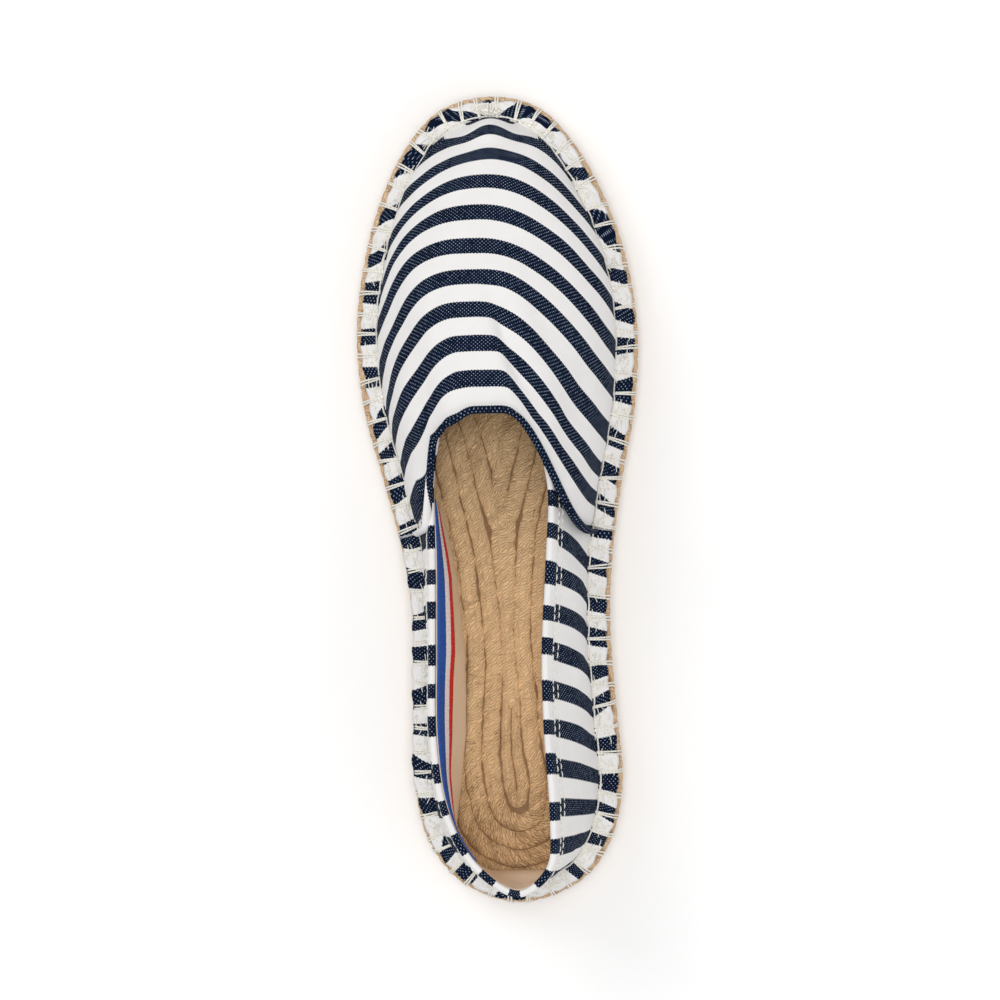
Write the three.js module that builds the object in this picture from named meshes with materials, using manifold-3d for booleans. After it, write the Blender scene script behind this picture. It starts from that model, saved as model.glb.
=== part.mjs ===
// A flat slip-on espadrille for the left foot, empty and standing on a level floor.
//
// Units are millimetres and +Z is up. The toe points to -Y, and +X is the lateral
// side, where the little toe is. "Along" is measured from the tip of the toe to the heel.
// Three solids are made: a thin rubber outsole, the jute sole that stands on it, and one
// hollow canvas upper, which is open at the collar and underneath.

import * as THREE from "three";
import { mergeVertices } from "three/addons/utils/BufferGeometryUtils.js";
import Module from "manifold-3d";

// Driving sizes of the shoe
const LENGTH = 260;
const TOE_SPRING = 5;
const ARCH_LIFT = 1.2;
const FOREFOOT_THICKNESS = 15;
const HEEL_THICKNESS = 18;
const RUBBER_THICKNESS = 3;
const SHOULDER_RADIUS = 6.5;
const SEAM_INSET = 7.2;
const HEM_EDGE_INSET = 1.2;
const CANVAS_WALL = 1.6;
const GAP = 0.3;
const HEM_REST = 0.4;

// Flat places of the underside, by their distance along the shoe
const TREAD = { toeEnd: 48, archStart: 112, archEnd: 198, heelEnd: 244, heelLift: 1.5 };

// How finely the faceted solids are divided
const STATIONS_PER_ROW = 3;
const VAMP_COLUMNS = 28;
const VAMP_STEPS = 18;
const QUARTER_COLUMNS = 42;
const QUARTER_STEPS = 5;

// Outline of the jute sole, seen from above
const OUTLINE = [
  { along: 0, lateral: 0, medial: 0 },
  { along: 4, lateral: 16.3, medial: -15.7 },
  { along: 15, lateral: 27.3, medial: -26.2 },
  { along: 30, lateral: 35.5, medial: -34.6 },
  { along: 50, lateral: 41.9, medial: -41.7 },
  { along: 75, lateral: 45.4, medial: -45.4 },
  { along: 100, lateral: 43.6, medial: -44.0 },
  { along: 125, lateral: 37.4, medial: -39.0 },
  { along: 150, lateral: 31.6, medial: -35.2 },
  { along: 172, lateral: 29.6, medial: -34.0 },
  { along: 200, lateral: 30.4, medial: -35.4 },
  { along: 222, lateral: 30.4, medial: -36.6 },
  { along: 240, lateral: 26.4, medial: -32.6 },
  { along: 253, lateral: 16.4, medial: -23.2 },
  { along: LENGTH, lateral: -3.0, medial: -3.0 },
];

// Vamp, one row for each line across it: where its crest lies, where it meets the seam
// on each side, and how full its section is
const VAMP = [
  { crest: 7.2, x: -0.2, height: 18.9, lateral: 10.2, medial: 10.6, fullness: 2.2 },
  { crest: 11.8, x: -0.4, height: 28.0, lateral: 20.9, medial: 24.8, fullness: 2.4 },
  { crest: 20.1, x: 0.5, height: 35.5, lateral: 34.2, medial: 42.3, fullness: 2.5 },
  { crest: 29.2, x: 1.5, height: 40.5, lateral: 48.4, medial: 57.1, fullness: 2.6 },
  { crest: 39.2, x: 2.2, height: 44.6, lateral: 62.7, medial: 69.7, fullness: 2.6 },
  { crest: 50.1, x: 2.8, height: 48.4, lateral: 75.5, medial: 83.1, fullness: 2.5 },
  { crest: 59.9, x: 3.4, height: 51.8, lateral: 89.9, medial: 95.3, fullness: 2.5 },
  { crest: 70.2, x: 4.0, height: 55.2, lateral: 102.8, medial: 109.6, fullness: 2.5 },
  { crest: 80.9, x: 4.5, height: 58.4, lateral: 110.8, medial: 121.7, fullness: 2.5 },
  { crest: 91.8, x: 4.6, height: 61.0, lateral: 123.1, medial: 130.3, fullness: 2.5 },
  { crest: 101.4, x: 4.6, height: 63.0, lateral: 139.3, medial: 139.9, fullness: 2.5 },
];

// How each row of the vamp sweeps back on each side: how far out it stays level from its
// crest, as a share of its half width, and how sharply it then curves back to the seam
const VAMP_SWEEP = [
  { lateralLevel: 0, lateral: 2, medialLevel: 0, medial: 2 },
  { lateralLevel: 0, lateral: 2, medialLevel: 0, medial: 2.2 },
  { lateralLevel: 0, lateral: 2, medialLevel: 0, medial: 2.1 },
  { lateralLevel: 0, lateral: 2.4, medialLevel: 0, medial: 2.1 },
  { lateralLevel: 0, lateral: 3, medialLevel: 0, medial: 2 },
  { lateralLevel: 0.05, lateral: 3.2, medialLevel: 0.02, medial: 1.9 },
  { lateralLevel: 0.1, lateral: 2.9, medialLevel: 0.06, medial: 1.7 },
  { lateralLevel: 0.15, lateral: 2.6, medialLevel: 0.12, medial: 1.3 },
  { lateralLevel: 0.2, lateral: 1.8, medialLevel: 0.2, medial: 1.15 },
  { lateralLevel: 0.22, lateral: 1.7, medialLevel: 0.27, medial: 1.05 },
  { lateralLevel: 0.42, lateral: 1.7, medialLevel: 0.34, medial: 1 },
];

// Collar of the quarter: which point of the seam each collar point stands over
const COLLAR = [
  { side: "lateral", foot: 112, along: 108, x: 18.4, height: 52.5, bulge: 1.2 },
  { side: "lateral", foot: 128, along: 124, x: 20.9, height: 51.0, bulge: 1.4 },
  { side: "lateral", foot: 152, along: 149, x: 21.3, height: 50.0, bulge: 1.4 },
  { side: "lateral", foot: 180, along: 178, x: 22.1, height: 50.5, bulge: 1.2 },
  { side: "lateral", foot: 206, along: 204, x: 22.4, height: 52.5, bulge: 1.0 },
  { side: "lateral", foot: 228, along: 226, x: 19.4, height: 54.5, bulge: 0.8 },
  { side: "lateral", foot: 244, along: 243.4, x: 10.6, height: 57.0, bulge: 0.5 },
  { side: "medial", foot: 252.8, along: 253.2, x: -3.6, height: 58.5, bulge: 0.3 },
  { side: "medial", foot: 244, along: 245, x: -14.8, height: 57.0, bulge: 0.6 },
  { side: "medial", foot: 229, along: 228, x: -16.2, height: 54.5, bulge: 1.2 },
  { side: "medial", foot: 208, along: 203, x: -15.0, height: 52.5, bulge: 1.8 },
  { side: "medial", foot: 184, along: 178, x: -14.9, height: 50.5, bulge: 2.4 },
  { side: "medial", foot: 158, along: 151, x: -16.8, height: 50.0, bulge: 2.4 },
  { side: "medial", foot: 134, along: 127, x: -18.2, height: 51.0, bulge: 2.0 },
  { side: "medial", foot: 115, along: 108, x: -14.6, height: 52.5, bulge: 1.6 },
];

const wasm = await Module();
wasm.setup();

// Small helpers

function smoothStep(from, to, value) {
  return THREE.MathUtils.smoothstep(value, from, to);
}

// Value of one column of a table, at a fractional row number
function columnAt(table, column, row) {
  const last = table.length - 1;
  const start = Math.min(Math.floor(row), last - 1);
  const value = (index) => table[THREE.MathUtils.clamp(index, 0, last)][column];
  const [a, b, c, d] = [start - 1, start, start + 1, start + 2].map(value);
  const t = row - start;
  const slopeIn = (c - a) / 2;
  const slopeOut = (d - b) / 2;
  const t2 = t * t;
  const t3 = t2 * t;
  return (2 * t3 - 3 * t2 + 1) * b + (t3 - 2 * t2 + t) * slopeIn
    + (3 * t2 - 2 * t3) * c + (t3 - t2) * slopeOut;
}

// Point in the shoe's own frame, with the toe towards -Y
function shoePoint(x, along, height) {
  return new THREE.Vector3(x, along - LENGTH / 2, height);
}

// The outline is one closed curve: the toe, the lateral side, the heel, the medial side.
// Equal numbers of points on each side let a station face its partner straight across.

const lateralPoints = OUTLINE.map((row) => new THREE.Vector3(row.lateral, row.along, 0));
const medialPoints = OUTLINE.slice(1, -1).reverse()
  .map((row) => new THREE.Vector3(row.medial, row.along, 0));
const outline = new THREE.CatmullRomCurve3([...lateralPoints, ...medialPoints], true);
const STATIONS = STATIONS_PER_ROW * (lateralPoints.length + medialPoints.length);

function outlinePoint(turn, inset) {
  const wrapped = turn - Math.floor(turn);
  const point = outline.getPoint(wrapped);
  const tangent = outline.getTangent(wrapped);
  return { x: point.x - tangent.y * inset, along: point.y + tangent.x * inset };
}

// Heights of the sole at a distance along the shoe

function underside(along) {
  const toe = Math.max(0, TREAD.toeEnd - along) / TREAD.toeEnd;
  const heel = Math.max(0, along - TREAD.heelEnd) / (LENGTH - TREAD.heelEnd);
  const arch = smoothStep(TREAD.archStart, (TREAD.archStart + TREAD.archEnd) / 2, along)
    * (1 - smoothStep((TREAD.archStart + TREAD.archEnd) / 2, TREAD.archEnd, along));
  return TOE_SPRING * toe * toe + ARCH_LIFT * arch + TREAD.heelLift * heel * heel;
}

function soleTop(along) {
  const rise = smoothStep(100, 195, along);
  return underside(along) + THREE.MathUtils.lerp(FOREFOOT_THICKNESS, HEEL_THICKNESS, rise);
}

// Height of a layer that lies at a lift above the sole's rounded shoulder
function shoulderHeight(along, inset, lift) {
  const reach = Math.max(0, SHOULDER_RADIUS - inset);
  const radius = SHOULDER_RADIUS + lift;
  return soleTop(along) - SHOULDER_RADIUS + Math.sqrt(radius * radius - reach * reach);
}

// Closed solids

function geometryFrom(points, faces) {
  const geometry = new THREE.BufferGeometry();
  const positions = points.flatMap((point) => [point.x, point.y, point.z]);
  geometry.setAttribute("position", new THREE.Float32BufferAttribute(positions, 3));
  geometry.setIndex(faces.flat());
  return geometry;
}

// A solid from rings of points around the outline, from the lowest to the highest.
// Each ring gives an inset and a function of the distance along for its height.
function ringSolid(rings) {
  const points = [];
  for (const ring of rings) {
    for (let station = 0; station < STATIONS; station += 1) {
      const { x, along } = outlinePoint(station / STATIONS, ring.inset);
      points.push(shoePoint(x, along, ring.height(along)));
    }
  }
  const faces = [];
  for (let ring = 0; ring < rings.length - 1; ring += 1) {
    for (let station = 0; station < STATIONS; station += 1) {
      const next = (station + 1) % STATIONS;
      const low = ring * STATIONS;
      const high = low + STATIONS;
      faces.push([low + station, low + next, high + next]);
      faces.push([low + station, high + next, high + station]);
    }
  }
  addCap(faces, 0, false);
  addCap(faces, (rings.length - 1) * STATIONS, true);
  return geometryFrom(points, faces);
}

// A cap runs straight across, from each lateral station to its medial partner
function addCap(faces, first, facesUp) {
  const half = STATIONS / 2;
  const add = (a, b, c) => faces.push(facesUp ? [a, b, c] : [a, c, b]);
  for (let station = 0; station < half; station += 1) {
    const lateral = first + station;
    const medial = first + (STATIONS - station) % STATIONS;
    const nextMedial = first + STATIONS - station - 1;
    if (station < half - 1) add(lateral, lateral + 1, nextMedial);
    if (station > 0) add(lateral, station < half - 1 ? nextMedial : lateral + 1, medial);
  }
}

// A wall of even thickness behind an outer surface. The surface is given as a grid of
// points, seen from outside with its columns running to the right and its rows upwards.
function wallSolid(grid, closedRound) {
  const rows = grid.length;
  const columns = grid[0].length;
  const spans = closedRound ? columns : columns - 1;
  const at = (row, column) => row * columns + (column % columns);
  const outerFaces = [];
  for (let row = 0; row < rows - 1; row += 1) {
    for (let column = 0; column < spans; column += 1) {
      outerFaces.push([at(row, column), at(row, column + 1), at(row + 1, column + 1)]);
      outerFaces.push([at(row, column), at(row + 1, column + 1), at(row + 1, column)]);
    }
  }
  const outer = grid.flat();
  const surface = geometryFrom(outer, outerFaces);
  surface.computeVertexNormals();
  const normals = surface.getAttribute("normal");
  const inner = outer.map((point, index) => point.clone()
    .addScaledVector(new THREE.Vector3().fromBufferAttribute(normals, index), -CANVAS_WALL));
  const back = outer.length;
  const faces = [...outerFaces, ...outerFaces.map(([a, b, c]) => [a + back, c + back, b + back])];
  const addEdge = (a, b) => faces.push([a, a + back, b + back], [a, b + back, b]);
  for (let column = 0; column < spans; column += 1) {
    addEdge(at(0, column), at(0, column + 1));
    addEdge(at(rows - 1, column + 1), at(rows - 1, column));
  }
  if (!closedRound) {
    for (let row = 0; row < rows - 1; row += 1) {
      addEdge(at(row, columns - 1), at(row + 1, columns - 1));
      addEdge(at(row + 1, 0), at(row, 0));
    }
  }
  return geometryFrom([...outer, ...inner], faces);
}

function toManifold(geometry) {
  const merged = geometry.clone();
  merged.deleteAttribute("normal");
  merged.deleteAttribute("uv");
  const welded = mergeVertices(merged, 1e-4);
  const vertProperties = Float32Array.from(welded.getAttribute("position").array);
  const triVerts = Uint32Array.from(welded.index.array);
  return new wasm.Manifold(new wasm.Mesh({ numProp: 3, vertProperties, triVerts }));
}

function fromManifold(solid) {
  const mesh = solid.getMesh();
  const geometry = new THREE.BufferGeometry();
  geometry.setAttribute("position", new THREE.BufferAttribute(mesh.vertProperties, 3));
  geometry.setIndex(new THREE.BufferAttribute(mesh.triVerts, 1));
  return geometry;
}

// Rubber outsole: a thin sheet, set in a little from the jute

function rubberOutsole() {
  return ringSolid([
    { inset: 3.2, height: underside },
    { inset: 2.2, height: (along) => underside(along) + 0.9 },
    { inset: 2.2, height: (along) => underside(along) + RUBBER_THICKNESS },
  ]);
}

// Jute sole: slightly round in its sides, with a rounded shoulder under the canvas hem.
// A clearance gives the same form a little larger, to cut room for it in its neighbour.

function juteSole(clearance = 0) {
  const base = RUBBER_THICKNESS + GAP - clearance;
  const rings = [
    { inset: 1.6 - clearance, height: (along) => underside(along) + base },
    { inset: 0.5 - clearance, height: (along) => underside(along) + base + 1.2 },
    { inset: -clearance, height: (along) => underside(along) + base + 3.2 },
  ];
  const shoulderSteps = 4;
  for (let step = 0; step <= shoulderSteps; step += 1) {
    const angle = (step / shoulderSteps) * Math.PI / 2;
    const inset = SHOULDER_RADIUS - (SHOULDER_RADIUS + clearance) * Math.cos(angle);
    rings.push({ inset, height: (along) => shoulderHeight(along, inset, clearance) });
  }
  return ringSolid(rings);
}

// Seam line, where the canvas is stitched down to the sole

function seamPoint(turn, lift) {
  const { x, along } = outlinePoint(turn, SEAM_INSET);
  return shoePoint(x, along, shoulderHeight(along, SEAM_INSET, lift));
}

// Turn around the outline at which the seam lies at a distance along, on one side
function seamTurn(side, along) {
  const heelTurn = 0.5;
  let low = 0;
  let high = heelTurn;
  for (let halving = 0; halving < 30; halving += 1) {
    const middle = (low + high) / 2;
    const turn = side === "lateral" ? middle : 1 - middle;
    if (outlinePoint(turn, SEAM_INSET).along < along) low = middle;
    else high = middle;
  }
  return side === "lateral" ? low : 1 - low;
}

// Vamp: lines across the front of the foot, each swept back from its crest to the seam

// Share of the way back from crest to seam: rows bend back along a power curve, and the
// last ones arch round the throat
function sweepBack(side, outward, row) {
  const level = columnAt(VAMP_SWEEP, `${side}Level`, row);
  const past = Math.max(0, (outward - level) / (1 - level));
  const bend = past ** columnAt(VAMP_SWEEP, side, row);
  const last = VAMP.length - 1;
  const arch = 0.8 * Math.max(0, row - last + 1) ** 1.3 + 0.2 * Math.min(1, Math.max(0, row - last + 2));
  return THREE.MathUtils.lerp(bend, throatArch(side, outward), arch);
}

// The cut of the throat itself, from its crest to the lower end of its edge
function throatArch(side, outward) {
  if (side === "lateral") {
    return 0.1 * smoothStep(0.1, 0.55, outward) + 0.9 * smoothStep(0.55, 0.82, outward);
  }
  const past = Math.max(0, (outward - 0.32) / 0.68);
  return Math.sin(past * Math.PI / 2) ** 1.6;
}

function vampPoint(across, row) {
  const side = across >= 0 ? "lateral" : "medial";
  const get = (column) => columnAt(VAMP, column, row);
  const foot = seamPoint(seamTurn(side, get(side)), GAP);
  const angle = Math.abs(across) * Math.PI / 2;
  const fullness = get("fullness");
  const outward = Math.sin(angle) ** (2 / fullness);
  const upward = Math.cos(angle) ** (2 / fullness);
  const crest = shoePoint(get("x"), get("crest"), get("height"));
  return new THREE.Vector3(
    THREE.MathUtils.lerp(crest.x, foot.x, outward),
    THREE.MathUtils.lerp(crest.y, foot.y, sweepBack(side, outward, row)),
    THREE.MathUtils.lerp(foot.z, crest.z, upward),
  );
}

function vampWall() {
  const grid = [];
  for (let step = 0; step <= VAMP_STEPS; step += 1) {
    const row = (step / VAMP_STEPS) * (VAMP.length - 1);
    const line = [];
    for (let column = 0; column <= VAMP_COLUMNS; column += 1) {
      line.push(vampPoint(1 - 2 * column / VAMP_COLUMNS, row));
    }
    grid.push(line);
  }
  return wallSolid(grid, false);
}

// Quarter: a wall round the heel, from the seam up to the collar

function quarterTurns() {
  return COLLAR.map((row) => ({ ...row, turn: seamTurn(row.side, row.foot) }));
}

function quarterWall() {
  const table = quarterTurns();
  const grid = [];
  for (let step = 0; step <= QUARTER_STEPS; step += 1) {
    const rise = step / QUARTER_STEPS;
    const line = [];
    for (let column = 0; column <= QUARTER_COLUMNS; column += 1) {
      const row = (1 - column / QUARTER_COLUMNS) * (table.length - 1);
      const get = (name) => columnAt(table, name, row);
      const foot = seamPoint(get("turn"), GAP);
      const inset = outlinePoint(get("turn"), SEAM_INSET - 1);
      const outward = shoePoint(inset.x, inset.along, foot.z).sub(foot).setZ(0).normalize();
      const collar = shoePoint(get("x"), get("along"), get("height"));
      line.push(foot.lerp(collar, rise)
        .addScaledVector(outward, get("bulge") * Math.sin(Math.PI * rise)));
    }
    grid.push(line);
  }
  return wallSolid(grid, false);
}

// Turned hem of the canvas, which lies on the sole's shoulder all the way round

function hemBand() {
  const insets = [HEM_EDGE_INSET, 3.0, 5.2, SEAM_INSET + 1.4];
  const lift = HEM_REST + CANVAS_WALL;
  const grid = insets.map((inset) => {
    const line = [];
    for (let station = 0; station < STATIONS; station += 1) {
      const { x, along } = outlinePoint(-station / STATIONS, inset);
      line.push(shoePoint(x, along, shoulderHeight(along, inset, lift)));
    }
    return line;
  });
  return wallSolid(grid, true);
}

function upper() {
  const joined = [vampWall(), quarterWall(), hemBand()].map(toManifold)
    .reduce((whole, wall) => whole.add(wall))
    .subtract(toManifold(juteSole(GAP)));
  const bodies = joined.decompose().sort((a, b) => b.volume() - a.volume());
  return fromManifold(bodies[0]);
}

// Assembly

const finishes = {
  rubber: new THREE.MeshStandardMaterial({ color: 0xb98d5c, roughness: 0.85, metalness: 0 }),
  jute: new THREE.MeshStandardMaterial({ color: 0xc9a06a, roughness: 0.95, metalness: 0 }),
  canvas: new THREE.MeshStandardMaterial({ color: 0x2b3f6b, roughness: 0.9, metalness: 0 }),
};

function addPiece(group, name, geometry, material) {
  const mesh = new THREE.Mesh(geometry, material);
  mesh.name = name;
  group.add(mesh);
}

const group = new THREE.Group();
addPiece(group, "outsole", rubberOutsole(), finishes.rubber);
addPiece(group, "jute_sole", juteSole(), finishes.jute);
addPiece(group, "upper", upper(), finishes.canvas);

export default group;
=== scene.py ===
# %% [markdown]
# # A striped espadrille, sewn together in Blender
# An espadrille is a jute rope sole with a canvas upper tied down to it by a blanket stitch.
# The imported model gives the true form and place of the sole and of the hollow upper. This
# lesson clothes that frame: the coiled rope, the two pieces of canvas, the hem, the thread,
# the tape and the lining. Every size below is in millimetres, as a shoemaker would say it,
# and is turned into metres only when a mesh is made.

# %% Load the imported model
import math
import bmesh
import bpy
import numpy as np
from mathutils import Matrix, Vector, noise


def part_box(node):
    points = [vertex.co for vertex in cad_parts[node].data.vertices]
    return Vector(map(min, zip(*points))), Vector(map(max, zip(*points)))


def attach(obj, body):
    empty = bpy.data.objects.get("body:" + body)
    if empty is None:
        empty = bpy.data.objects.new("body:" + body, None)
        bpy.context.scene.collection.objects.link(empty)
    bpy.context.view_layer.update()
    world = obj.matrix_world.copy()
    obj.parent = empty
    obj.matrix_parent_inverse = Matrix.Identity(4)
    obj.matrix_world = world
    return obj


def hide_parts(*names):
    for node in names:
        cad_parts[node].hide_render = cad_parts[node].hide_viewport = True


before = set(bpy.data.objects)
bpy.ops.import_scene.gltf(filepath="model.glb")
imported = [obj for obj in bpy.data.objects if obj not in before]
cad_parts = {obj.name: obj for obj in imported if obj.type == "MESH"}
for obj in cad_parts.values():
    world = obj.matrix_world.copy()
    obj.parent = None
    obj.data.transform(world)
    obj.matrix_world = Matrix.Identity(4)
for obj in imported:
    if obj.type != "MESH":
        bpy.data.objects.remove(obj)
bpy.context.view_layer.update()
MM = 0.001
LENGTH = (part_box("jute_sole")[1][1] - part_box("jute_sole")[0][1]) / MM
print("packed nodes:", sorted(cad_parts), "sole length", round(LENGTH, 1), "mm")


# %% [markdown]
# ## The driving sizes and the tables of the form
# A last is described by rows: one row for each line across it, with named columns. The
# outline of the sole, the lines of the vamp and the collar of the quarter are the same three
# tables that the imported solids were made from. With the same numbers the cloth can be cut much
# finer than the solids, and still lie where they lie.

# %% Sizes and tables
TOE_SPRING = 5.0
ARCH_LIFT = 1.2
FOREFOOT_THICKNESS = 15.0
HEEL_THICKNESS = 18.0
RUBBER_THICKNESS = 3.0
SHOULDER = 6.5
SEAM_INSET = 7.2
SEAM_LIFT = 0.3
REPEAT = 12.05
CLOTH = 0.8


def table(columns, *rows):
    return dict(zip(columns.split(), np.array(rows, float).T))


OUTLINE = table(
    "along lateral medial",
    (0, 0, 0), (4, 16.3, -15.7), (15, 27.3, -26.2), (30, 35.5, -34.6), (50, 41.9, -41.7),
    (75, 45.4, -45.4), (100, 43.6, -44.0), (125, 37.4, -39.0), (150, 31.6, -35.2),
    (172, 29.6, -34.0), (200, 30.4, -35.4), (222, 30.4, -36.6), (240, 26.4, -32.6),
    (253, 16.4, -23.2), (260, -3.0, -3.0),
)

# One row for each navy stripe, from the toe seam to the throat
VAMP = table(
    "crest x height lateral medial hinge_l sweep_l hinge_m sweep_m full",
    (7.2, -0.2, 18.9, 10.2, 10.6, 0.0, 2.0, 0.0, 2.0, 2.2),
    (11.8, -0.4, 28.0, 20.9, 24.8, 0.0, 2.0, 0.0, 2.2, 2.4),
    (20.1, 0.5, 35.5, 34.2, 42.3, 0.0, 2.0, 0.0, 2.1, 2.5),
    (29.2, 1.5, 40.5, 48.4, 57.1, 0.0, 2.4, 0.0, 2.1, 2.6),
    (39.2, 2.2, 44.6, 62.7, 69.7, 0.0, 3.0, 0.0, 2.0, 2.6),
    (50.1, 2.8, 48.4, 75.5, 83.1, 0.05, 3.2, 0.02, 1.9, 2.5),
    (59.9, 3.4, 51.8, 89.9, 95.3, 0.1, 2.9, 0.06, 1.7, 2.5),
    (70.2, 4.0, 55.2, 102.8, 109.6, 0.15, 2.6, 0.12, 1.3, 2.5),
    (80.9, 4.5, 58.4, 110.8, 121.7, 0.2, 1.8, 0.2, 1.15, 2.5),
    (91.8, 4.6, 61.0, 123.1, 130.3, 0.22, 1.7, 0.27, 1.05, 2.5),
    (101.4, 4.6, 63.0, 139.3, 139.9, 0.42, 1.7, 0.34, 1.0, 2.5),
)

# Collar of the quarter, from the lateral front round the heel to the medial front
COLLAR = table(
    "side foot along x height bulge stripe",
    (1, 112, 108, 18.4, 52.5, 1.2, -1.73), (1, 128, 124, 20.9, 51.0, 1.4, -0.40),
    (1, 152, 149, 21.3, 50.0, 1.4, 1.68), (1, 180, 178, 22.1, 50.5, 1.2, 4.08),
    (1, 206, 204, 22.4, 52.5, 1.0, 6.24), (1, 228, 226, 19.4, 54.5, 0.8, 7.98),
    (1, 244, 243.4, 10.6, 57.0, 0.5, 9.60), (-1, 252.8, 253.2, -3.6, 58.5, 0.3, 11.0),
    (-1, 244, 245.0, -14.8, 57.0, 0.6, 12.4), (-1, 229, 228, -16.2, 54.5, 1.2, 13.85),
    (-1, 208, 203, -15.0, 52.5, 1.8, 15.84), (-1, 184, 178, -14.9, 50.5, 2.4, 17.92),
    (-1, 158, 151, -16.8, 50.0, 2.4, 20.16), (-1, 134, 127, -18.2, 51.0, 2.0, 22.15),
    (-1, 115, 108, -14.6, 52.5, 1.6, 23.73),
)
VAMP_ROWS = len(VAMP["crest"]) - 1
COLLAR_ROWS = len(COLLAR["foot"]) - 1


# %% [markdown]
# ## Reading the tables
# `column` runs a smooth curve through one column, as a spline batten runs through pins. The
# outline is one closed curve through its rows: toe, lateral side, heel, medial side. It is
# sampled once, very finely, and everything that follows the edge looks itself up there.

# %% Curves through the tables
def hermite(before, start, end, after, t):
    slope_in, slope_out = (end - before) / 2, (after - start) / 2
    t2, t3 = t * t, t * t * t
    return ((2 * t3 - 3 * t2 + 1) * start + (t3 - 2 * t2 + t) * slope_in
            + (3 * t2 - 2 * t3) * end + (t3 - t2) * slope_out)


def column(values, row):
    last = len(values) - 1
    start = np.clip(np.floor(row).astype(int), 0, last - 1)
    near = [values[np.clip(start + step, 0, last)] for step in (-1, 0, 1, 2)]
    return hermite(*near, row - start)


def closed_curve(pins, samples=4096):
    """Centripetal curve through a closed loop of pins, at even steps from pin to pin."""
    count = len(pins)
    turn = np.arange(samples) / samples * count
    index = np.floor(turn).astype(int)
    t = (turn - index)[:, None]
    p0, p1, p2, p3 = [pins[(index + step) % count] for step in (-1, 0, 1, 2)]
    d0, d1, d2 = [np.sqrt(np.linalg.norm(b - a, axis=1))[:, None]
                  for a, b in ((p0, p1), (p1, p2), (p2, p3))]
    m1 = ((p1 - p0) / d0 - (p2 - p0) / (d0 + d1) + (p2 - p1) / d1) * d1
    m2 = ((p2 - p1) / d1 - (p3 - p1) / (d1 + d2) + (p3 - p2) / d2) * d1
    return (p1 + m1 * t + (3 * (p2 - p1) - 2 * m1 - m2) * t ** 2
            + (2 * (p1 - p2) + m1 + m2) * t ** 3)


lateral_pins = np.stack([OUTLINE["lateral"], OUTLINE["along"]], axis=1)
medial_pins = np.stack([OUTLINE["medial"], OUTLINE["along"]], axis=1)[-2:0:-1]
EDGE = closed_curve(np.vstack([lateral_pins, medial_pins]))
EDGE_IN = np.roll(EDGE, -1, axis=0) - np.roll(EDGE, 1, axis=0)
EDGE_IN = EDGE_IN / np.linalg.norm(EDGE_IN, axis=1)[:, None]
EDGE_IN = np.stack([-EDGE_IN[:, 1], EDGE_IN[:, 0]], axis=1)


def around(samples, turn):
    """Values of a closed row of samples at fractions of a turn."""
    place = np.mod(turn, 1.0) * len(samples)
    low = np.floor(place).astype(int)
    part = (place - low)[..., None]
    return samples[low % len(samples)] * (1 - part) + samples[(low + 1) % len(samples)] * part


def edge_at(turn, inset):
    """Place on the outline moved inwards, as (x, along)."""
    return around(EDGE, turn) + around(EDGE_IN, turn) * np.asarray(inset)[..., None]


print("outline samples:", len(EDGE), "ball width", round(float(np.ptp(EDGE[:, 0])), 1), "mm")


# %% [markdown]
# ## Heights of the sole
# The toe springs up from the floor, the arch is lifted a little, and the heel is rounded off
# at its end. The top of the sole follows the underside at the thickness of the jute, and a
# rounded shoulder leads from the top to the rim: the canvas hem lies on that shoulder.

# %% Height functions
def smooth_step(low, high, value):
    t = np.clip((value - low) / (high - low), 0, 1)
    return t * t * (3 - 2 * t)


TOE_LIFTS, HEEL_ROUNDS, HEEL_ROUNDING = 48, 244, 1.5


def underside(along):
    toe = np.maximum(0, TOE_LIFTS - along) / TOE_LIFTS
    heel = np.maximum(0, along - HEEL_ROUNDS) / (LENGTH - HEEL_ROUNDS)
    arch = smooth_step(112, 155, along) * (1 - smooth_step(155, 198, along))
    return TOE_SPRING * toe ** 2 + ARCH_LIFT * arch + HEEL_ROUNDING * heel ** 2


def sole_top(along):
    rise = smooth_step(100, 195, along)
    return underside(along) + FOREFOOT_THICKNESS + (HEEL_THICKNESS - FOREFOOT_THICKNESS) * rise


def shoulder_height(along, inset, lift):
    reach = np.maximum(0, SHOULDER - inset)
    return sole_top(along) - SHOULDER + np.sqrt(np.maximum(0, (SHOULDER + lift) ** 2 - reach ** 2))


def shoe(x, along, height):
    return np.stack(np.broadcast_arrays(x, along - LENGTH / 2, height), axis=-1)


def seam_at(turn):
    """The line where the canvas is stitched down."""
    x, along = np.moveaxis(edge_at(turn, SEAM_INSET), -1, 0)
    return shoe(x, along, shoulder_height(along, SEAM_INSET, SEAM_LIFT))


def seam_turn(side, along):
    """Turn round the outline at which one side of the seam lies at a distance along."""
    half = np.linspace(0, 0.5, 1024)
    lateral = np.interp(along, edge_at(half, SEAM_INSET)[:, 1], half)
    medial = np.interp(along, edge_at(1 - half, SEAM_INSET)[:, 1], half)
    return np.where(side > 0, lateral, 1 - medial)


print("top of the sole at toe, ball and heel:", np.round(sole_top(np.array([5, 75, 220])), 1))


# %% [markdown]
# ## How a piece is finished
# Every piece goes through the same last step: its mesh is made from a bmesh, it gets one
# material, and it rides on the shoe's only body. Cloth is a grid from `create_grid` whose
# corners are laid on the form by a function, with its own UV map, so that a pattern runs with
# the threads of the cloth.

# %% Finishing and cloth helpers
def finish_piece(bm, name, material, smooth=True):
    mesh = bpy.data.meshes.new(name)
    bm.to_mesh(mesh)
    bm.free()
    return finish_mesh(mesh, name, material, smooth)


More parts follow.
